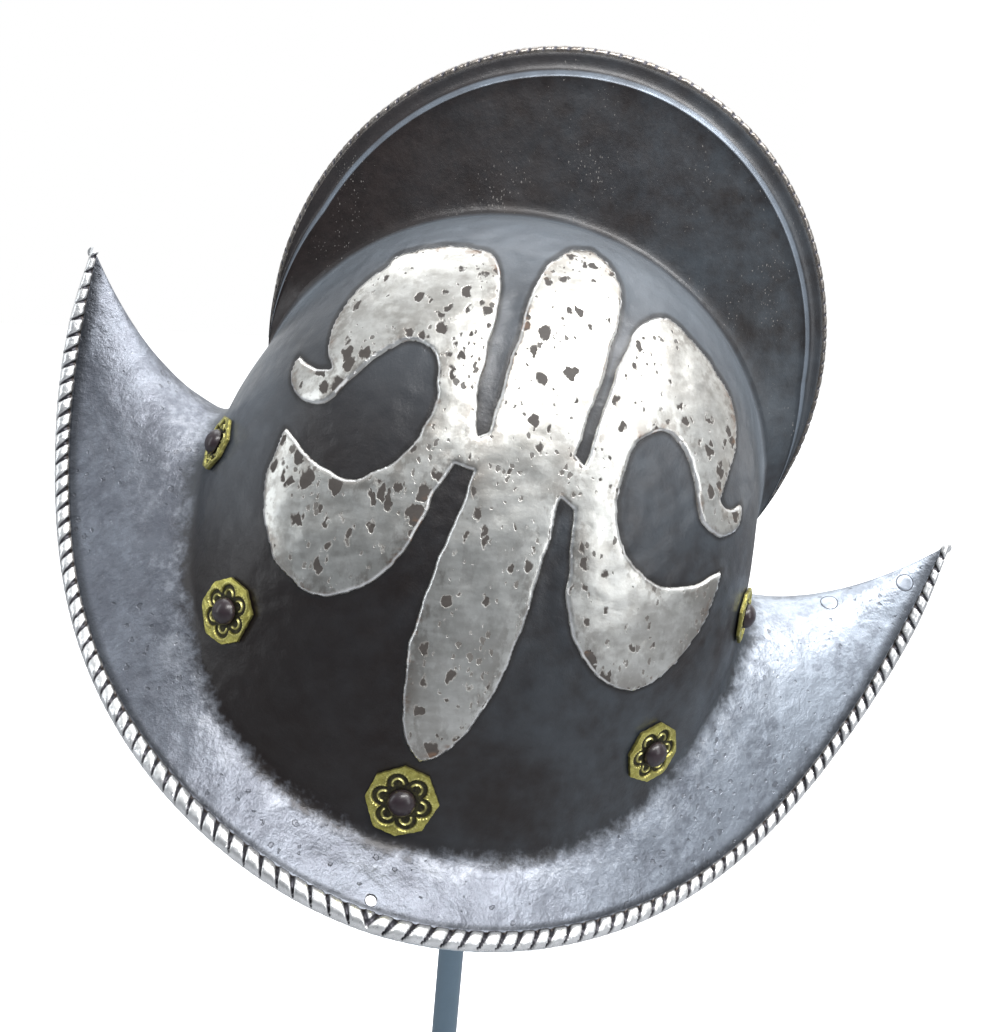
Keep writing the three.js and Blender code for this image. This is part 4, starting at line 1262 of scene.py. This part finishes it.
class MORION_OT_rosettes(bpy.types.Operator):
    """Builds the brass rosettes and the domed rivets that hold them"""

    bl_idname = "morion.rosettes"
    bl_label = "Rosettes and rivets"

    def execute(self, context):
        c = context.scene.morion_colours
        brass = brass_finish()
        worn = (0.022, 0.012, 0.016, 1)
        black = plain_metal("black rivet iron", tuple(c.rivet), worn, 0.34, 0.0, coat=0.25, wave_depth=0.0001)
        seat = PLATE_OFF + PLATE_THICK * 1.23 + GAP
        inside = -(WALL + 2 * GAP)
        profile = [(3.0, inside - 1.2), (3.4, inside - 0.9), (3.4, inside), (2.0, inside), (2.0, seat - 0.9)]
        profile += [(DOME_RADIUS - 0.15, seat - 0.9), (DOME_RADIUS, seat - 0.7)]
        for a in np.radians((8, 20, 32, 44, 56, 68, 79)):
            profile.append((DOME_RADIUS * math.cos(a), seat - 0.55 + DOME_HIGH * math.sin(a)))
        profile.append((0.3, seat + 2.86))
        pattern = turned("rivet_pattern", profile, 36, sharp=40)
        for k, (matrix, width) in enumerate(placements(), 1):
            rosette = build_rosette(k, width, matrix)
            settle(rosette, brass, "rosette_brass", f"rosette_{k:02d}")
            rivet = copy_of(pattern, f"domed_rivet_{k:02d}", matrix)
            settle(rivet, black, "rivet_iron", f"rivet_{k:02d}")
        bpy.data.objects.remove(pattern)
        return {"FINISHED"}


class MORION_OT_plugs(bpy.types.Operator):
    """Builds the flush plugs that fill two old holes near one peak"""

    bl_idname = "morion.plugs"
    bl_label = "Brim plugs"

    def execute(self, context):
        dark, light = (0.30, 0.33, 0.38, 1), (0.46, 0.50, 0.57, 1)
        grey = plain_metal("grey plug steel", dark, light, 0.40, 0.9, scale=90.0)
        tree = hit_tree(bpy.data.objects["helmet_plate"])
        for k, (angle, out) in enumerate(PLUGS, 1):
            r = PLUG_RADIUS
            profile = [(0.9, -0.5), (2.9, -0.5), (r, -0.45), (r, 0.0), (r - 0.1, 0.05)]
            profile += [(r - 0.35, 0.02), (r - 0.5, 0.1), (2.2, 0.12), (1.3, 0.13), (0.6, 0.13)]
            plug = turned(f"flush_plug_{k}", profile, 40, sharp=30)
            edge = [math.hypot(v.co.x, v.co.y) * 1000 > PLUG_RADIUS - 0.4 for v in plug.data.vertices]
            write_mask(plug, "seam", np.array(edge, float))
            matrix = brim_frame(angle, out)
            down = (matrix.to_3x3() @ Vector((0, 0, -1))).normalized()
            for v in plug.data.vertices:
                flat = matrix @ Vector((v.co.x, v.co.y, 0))
                hit = tree.ray_cast(flat - down * 0.003, down)
                if hit[0] is None:
                    raise RuntimeError("a plug's place is off the plate")
                v.co = hit[0] - down * v.co.z
            plug.data.update()
            settle(plug, grey, "plug_steel", f"brim_plug_{k}")
        return {"FINISHED"}


class MORION_OT_stand(bpy.types.Operator):
    """Builds the stand's foot, rod and pad"""

    bl_idname = "morion.stand"
    bl_label = "Stand"

    def execute(self, context):
        steel = rod_finish()
        low, high = (np.array(v) * 1000 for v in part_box("stand_base"))
        r, top = high[0], high[2]
        profile = [(r - 1, 0.0), (r, 1), (r, top - 2.2), (r - 0.7, top - 0.7), (r - 2.2, top), (8.5, top)]
        foot = turned("round_foot", profile, 128)
        settle(foot, steel, "stand_steel", "stand_base")
        low, high = (np.array(v) * 1000 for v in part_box("stand_post"))
        r = high[0]
        profile = [(r - 0.6, low[2]), (r, low[2] + 0.6), (r, high[2] - 0.6), (r - 0.6, high[2])]
        rod = turned("rod", profile, 64)
        settle(rod, steel, "stand_steel", "stand_post")
        low, high = (np.array(v) * 1000 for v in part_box("stand_pad"))
        r = high[0]
        soft = [(r - 1, low[2]), (r, low[2] + 1)]
        for a in range(0, 91, 15):
            soft.append((r - 3 + 3 * math.cos(math.radians(a)), high[2] - 3 + 3 * math.sin(math.radians(a))))
        pad = turned("crown_pad", soft, 64)
        settle(pad, rubber_finish(), "pad_rubber", "stand_pad")
        return {"FINISHED"}


# ---- the stage ----
CAMERA_AT = (-0.004115, -0.409520, 0.457641)
CAMERA_RIGHT, CAMERA_UP = (0.94069, 0.00385, 0.33925), (-0.33181, 0.21893, 0.91759)
LENS, SHIFT = 37.43, (0.002, -0.039)


def turn_level(v):
    c, s = math.cos(TILT), math.sin(TILT)
    return Vector((v[0] * c + v[2] * s, v[1], -v[0] * s + v[2] * c))


def soft_light(name, at, aim, size, power, tint):
    clear_selection()
    bpy.ops.object.light_add(type="AREA", location=at)
    light = bpy.context.object
    light.name = name
    light.data.shape = "RECTANGLE"
    light.data.size, light.data.size_y = size
    light.data.energy = power
    light.data.color = tint
    light.rotation_euler = (Vector(aim) - Vector(at)).to_track_quat("-Z", "Y").to_euler()
    light.visible_camera = False
    return light


class MORION_OT_stage(bpy.types.Operator):
    """Sets up the pale floor and backdrop, the soft light and the camera"""

    bl_idname = "morion.stage"
    bl_label = "Stage"

    def execute(self, context):
        scene = context.scene
        clear_selection()
        bpy.ops.mesh.primitive_circle_add(vertices=128, radius=4.0, fill_type="NGON", location=(0, 0, -0.0006))
        floor = named("pale_floor")
        bpy.ops.object.transform_apply(location=True, rotation=False, scale=False)
        bpy.ops.object.mode_set(mode="EDIT")
        bpy.ops.mesh.select_all(action="SELECT")
        bpy.ops.mesh.inset(thickness=1.2)
        bpy.ops.object.mode_set(mode="OBJECT")
        material, t, shader, place = new_material("pale floor")
        grain = noise_of(t, place, Scale=3.0, Detail=2.0).outputs[0]
        ray = put(t, "ShaderNodeLightPath").outputs
        pale = blend(t, grain, (0.86, 0.865, 0.87, 1), (0.90, 0.90, 0.90, 1))
        pale = blend(t, ray["Is Glossy Ray"], pale, (0.30, 0.31, 0.33, 1))
        glow = times(t, ray["Is Camera Ray"], 0.7)
        white = (1, 1, 1, 1)
        connect(t, shader, Base_Color=pale, Roughness=0.85, Emission_Color=white, Emission_Strength=glow)
        floor.data.materials.append(material)

        world = bpy.data.worlds.new("soft room")
        scene.world = world
        world.use_nodes = True
        t = world.node_tree
        sky = put(t, "ShaderNodeTexCoord").outputs["Generated"]
        axes = put(t, "ShaderNodeSeparateXYZ", Vector=sky)
        over = spread(t, axes.outputs[2], 0.15, 0.75)
        behind = spread(t, axes.outputs[1], -0.25, 0.45)
        right = spread(t, axes.outputs[0], -0.2, 0.9)
        level = calc(t, "MAXIMUM", times(t, over, 0.8), behind)
        level = calc(t, "ADD", times_plus(t, level, 0.70, 0.22), times(t, right, 0.22))
        seen = put(t, "ShaderNodeLightPath").outputs["Is Camera Ray"]
        tone = blend(t, calc(t, "MAXIMUM", level, seen), (0.70, 0.80, 0.92, 1), (1, 1, 1, 1))
        back = t.nodes["Background"]
        t.links.new(tone, back.inputs["Color"])
        t.links.new(calc(t, "MAXIMUM", level, seen), back.inputs["Strength"])

        soft_light("overhead", (0.30, -0.50, 1.13), (0.05, -0.05, 0.45), (1.0, 0.26), 11.5, (1.0, 0.99, 0.98))
        soft_light("top", (0.02, 0.40, 1.35), (0, 0, 0.45), (1.5, 0.9), 11.0, (0.96, 0.98, 1.0))
        soft_light("front_right", (0.95, -0.85, 0.75), (0.02, 0, 0.38), (0.5, 0.9), 4.0, (0.96, 0.98, 1.0))
        soft_light("front_left", (-1.1, -0.35, 0.65), (0, 0, 0.38), (0.3, 0.9), 2.2, (0.93, 0.97, 1.0))

        clear_selection()
        bpy.ops.object.camera_add()
        camera = bpy.context.object
        camera.name = "view_camera"
        right_, up_ = turn_level(CAMERA_RIGHT), turn_level(CAMERA_UP)
        away = right_.cross(up_)
        camera.matrix_world = Matrix((
            (right_.x, up_.x, away.x, CAMERA_AT[0]),
            (right_.y, up_.y, away.y, CAMERA_AT[1]),
            (right_.z, up_.z, away.z, CAMERA_AT[2]),
            (0, 0, 0, 1),
        ))
        camera.data.sensor_fit = "HORIZONTAL"
        camera.data.sensor_width = 36.0
        camera.data.lens = LENS
        camera.data.shift_x, camera.data.shift_y = SHIFT
        camera.data.clip_start = 0.01
        camera.data.clip_end = 50
        scene.camera = camera
        scene.view_settings.view_transform = "Standard"
        return {"FINISHED"}


class MORION_PT_panel(bpy.types.Panel):
    """Lists the sizes, the colours and the pieces"""

    bl_idname = "MORION_PT_panel"
    bl_label = "Comb Morion"
    bl_space_type = "VIEW_3D"
    bl_region_type = "UI"
    bl_category = "Morion"

    def draw(self, context):
        layout = self.layout
        for group_ in (context.scene.morion_sizes, context.scene.morion_colours):
            box = layout.box()
            for key in group_.__annotations__:
                box.prop(group_, key)
        for operator in OPERATORS:
            layout.operator(operator.bl_idname)


OPERATORS = (
    MORION_OT_plate, MORION_OT_edges, MORION_OT_rosettes, MORION_OT_plugs, MORION_OT_stand, MORION_OT_stage,
)
CLASSES = (MorionSizes, MorionColours) + OPERATORS + (MORION_PT_panel,)


def register():
    for cls in CLASSES:
        bpy.utils.register_class(cls)
    bpy.types.Scene.morion_sizes = bpy.props.PointerProperty(type=MorionSizes)
    bpy.types.Scene.morion_colours = bpy.props.PointerProperty(type=MorionColours)


def unregister():
    del bpy.types.Scene.morion_colours
    del bpy.types.Scene.morion_sizes
    for cls in reversed(CLASSES):
        bpy.utils.unregister_class(cls)


def main():
    register()
    for operator in OPERATORS:
        space, name = operator.bl_idname.split(".")
        getattr(getattr(bpy.ops, space), name)()


if __name__ == "__main__":
    main()
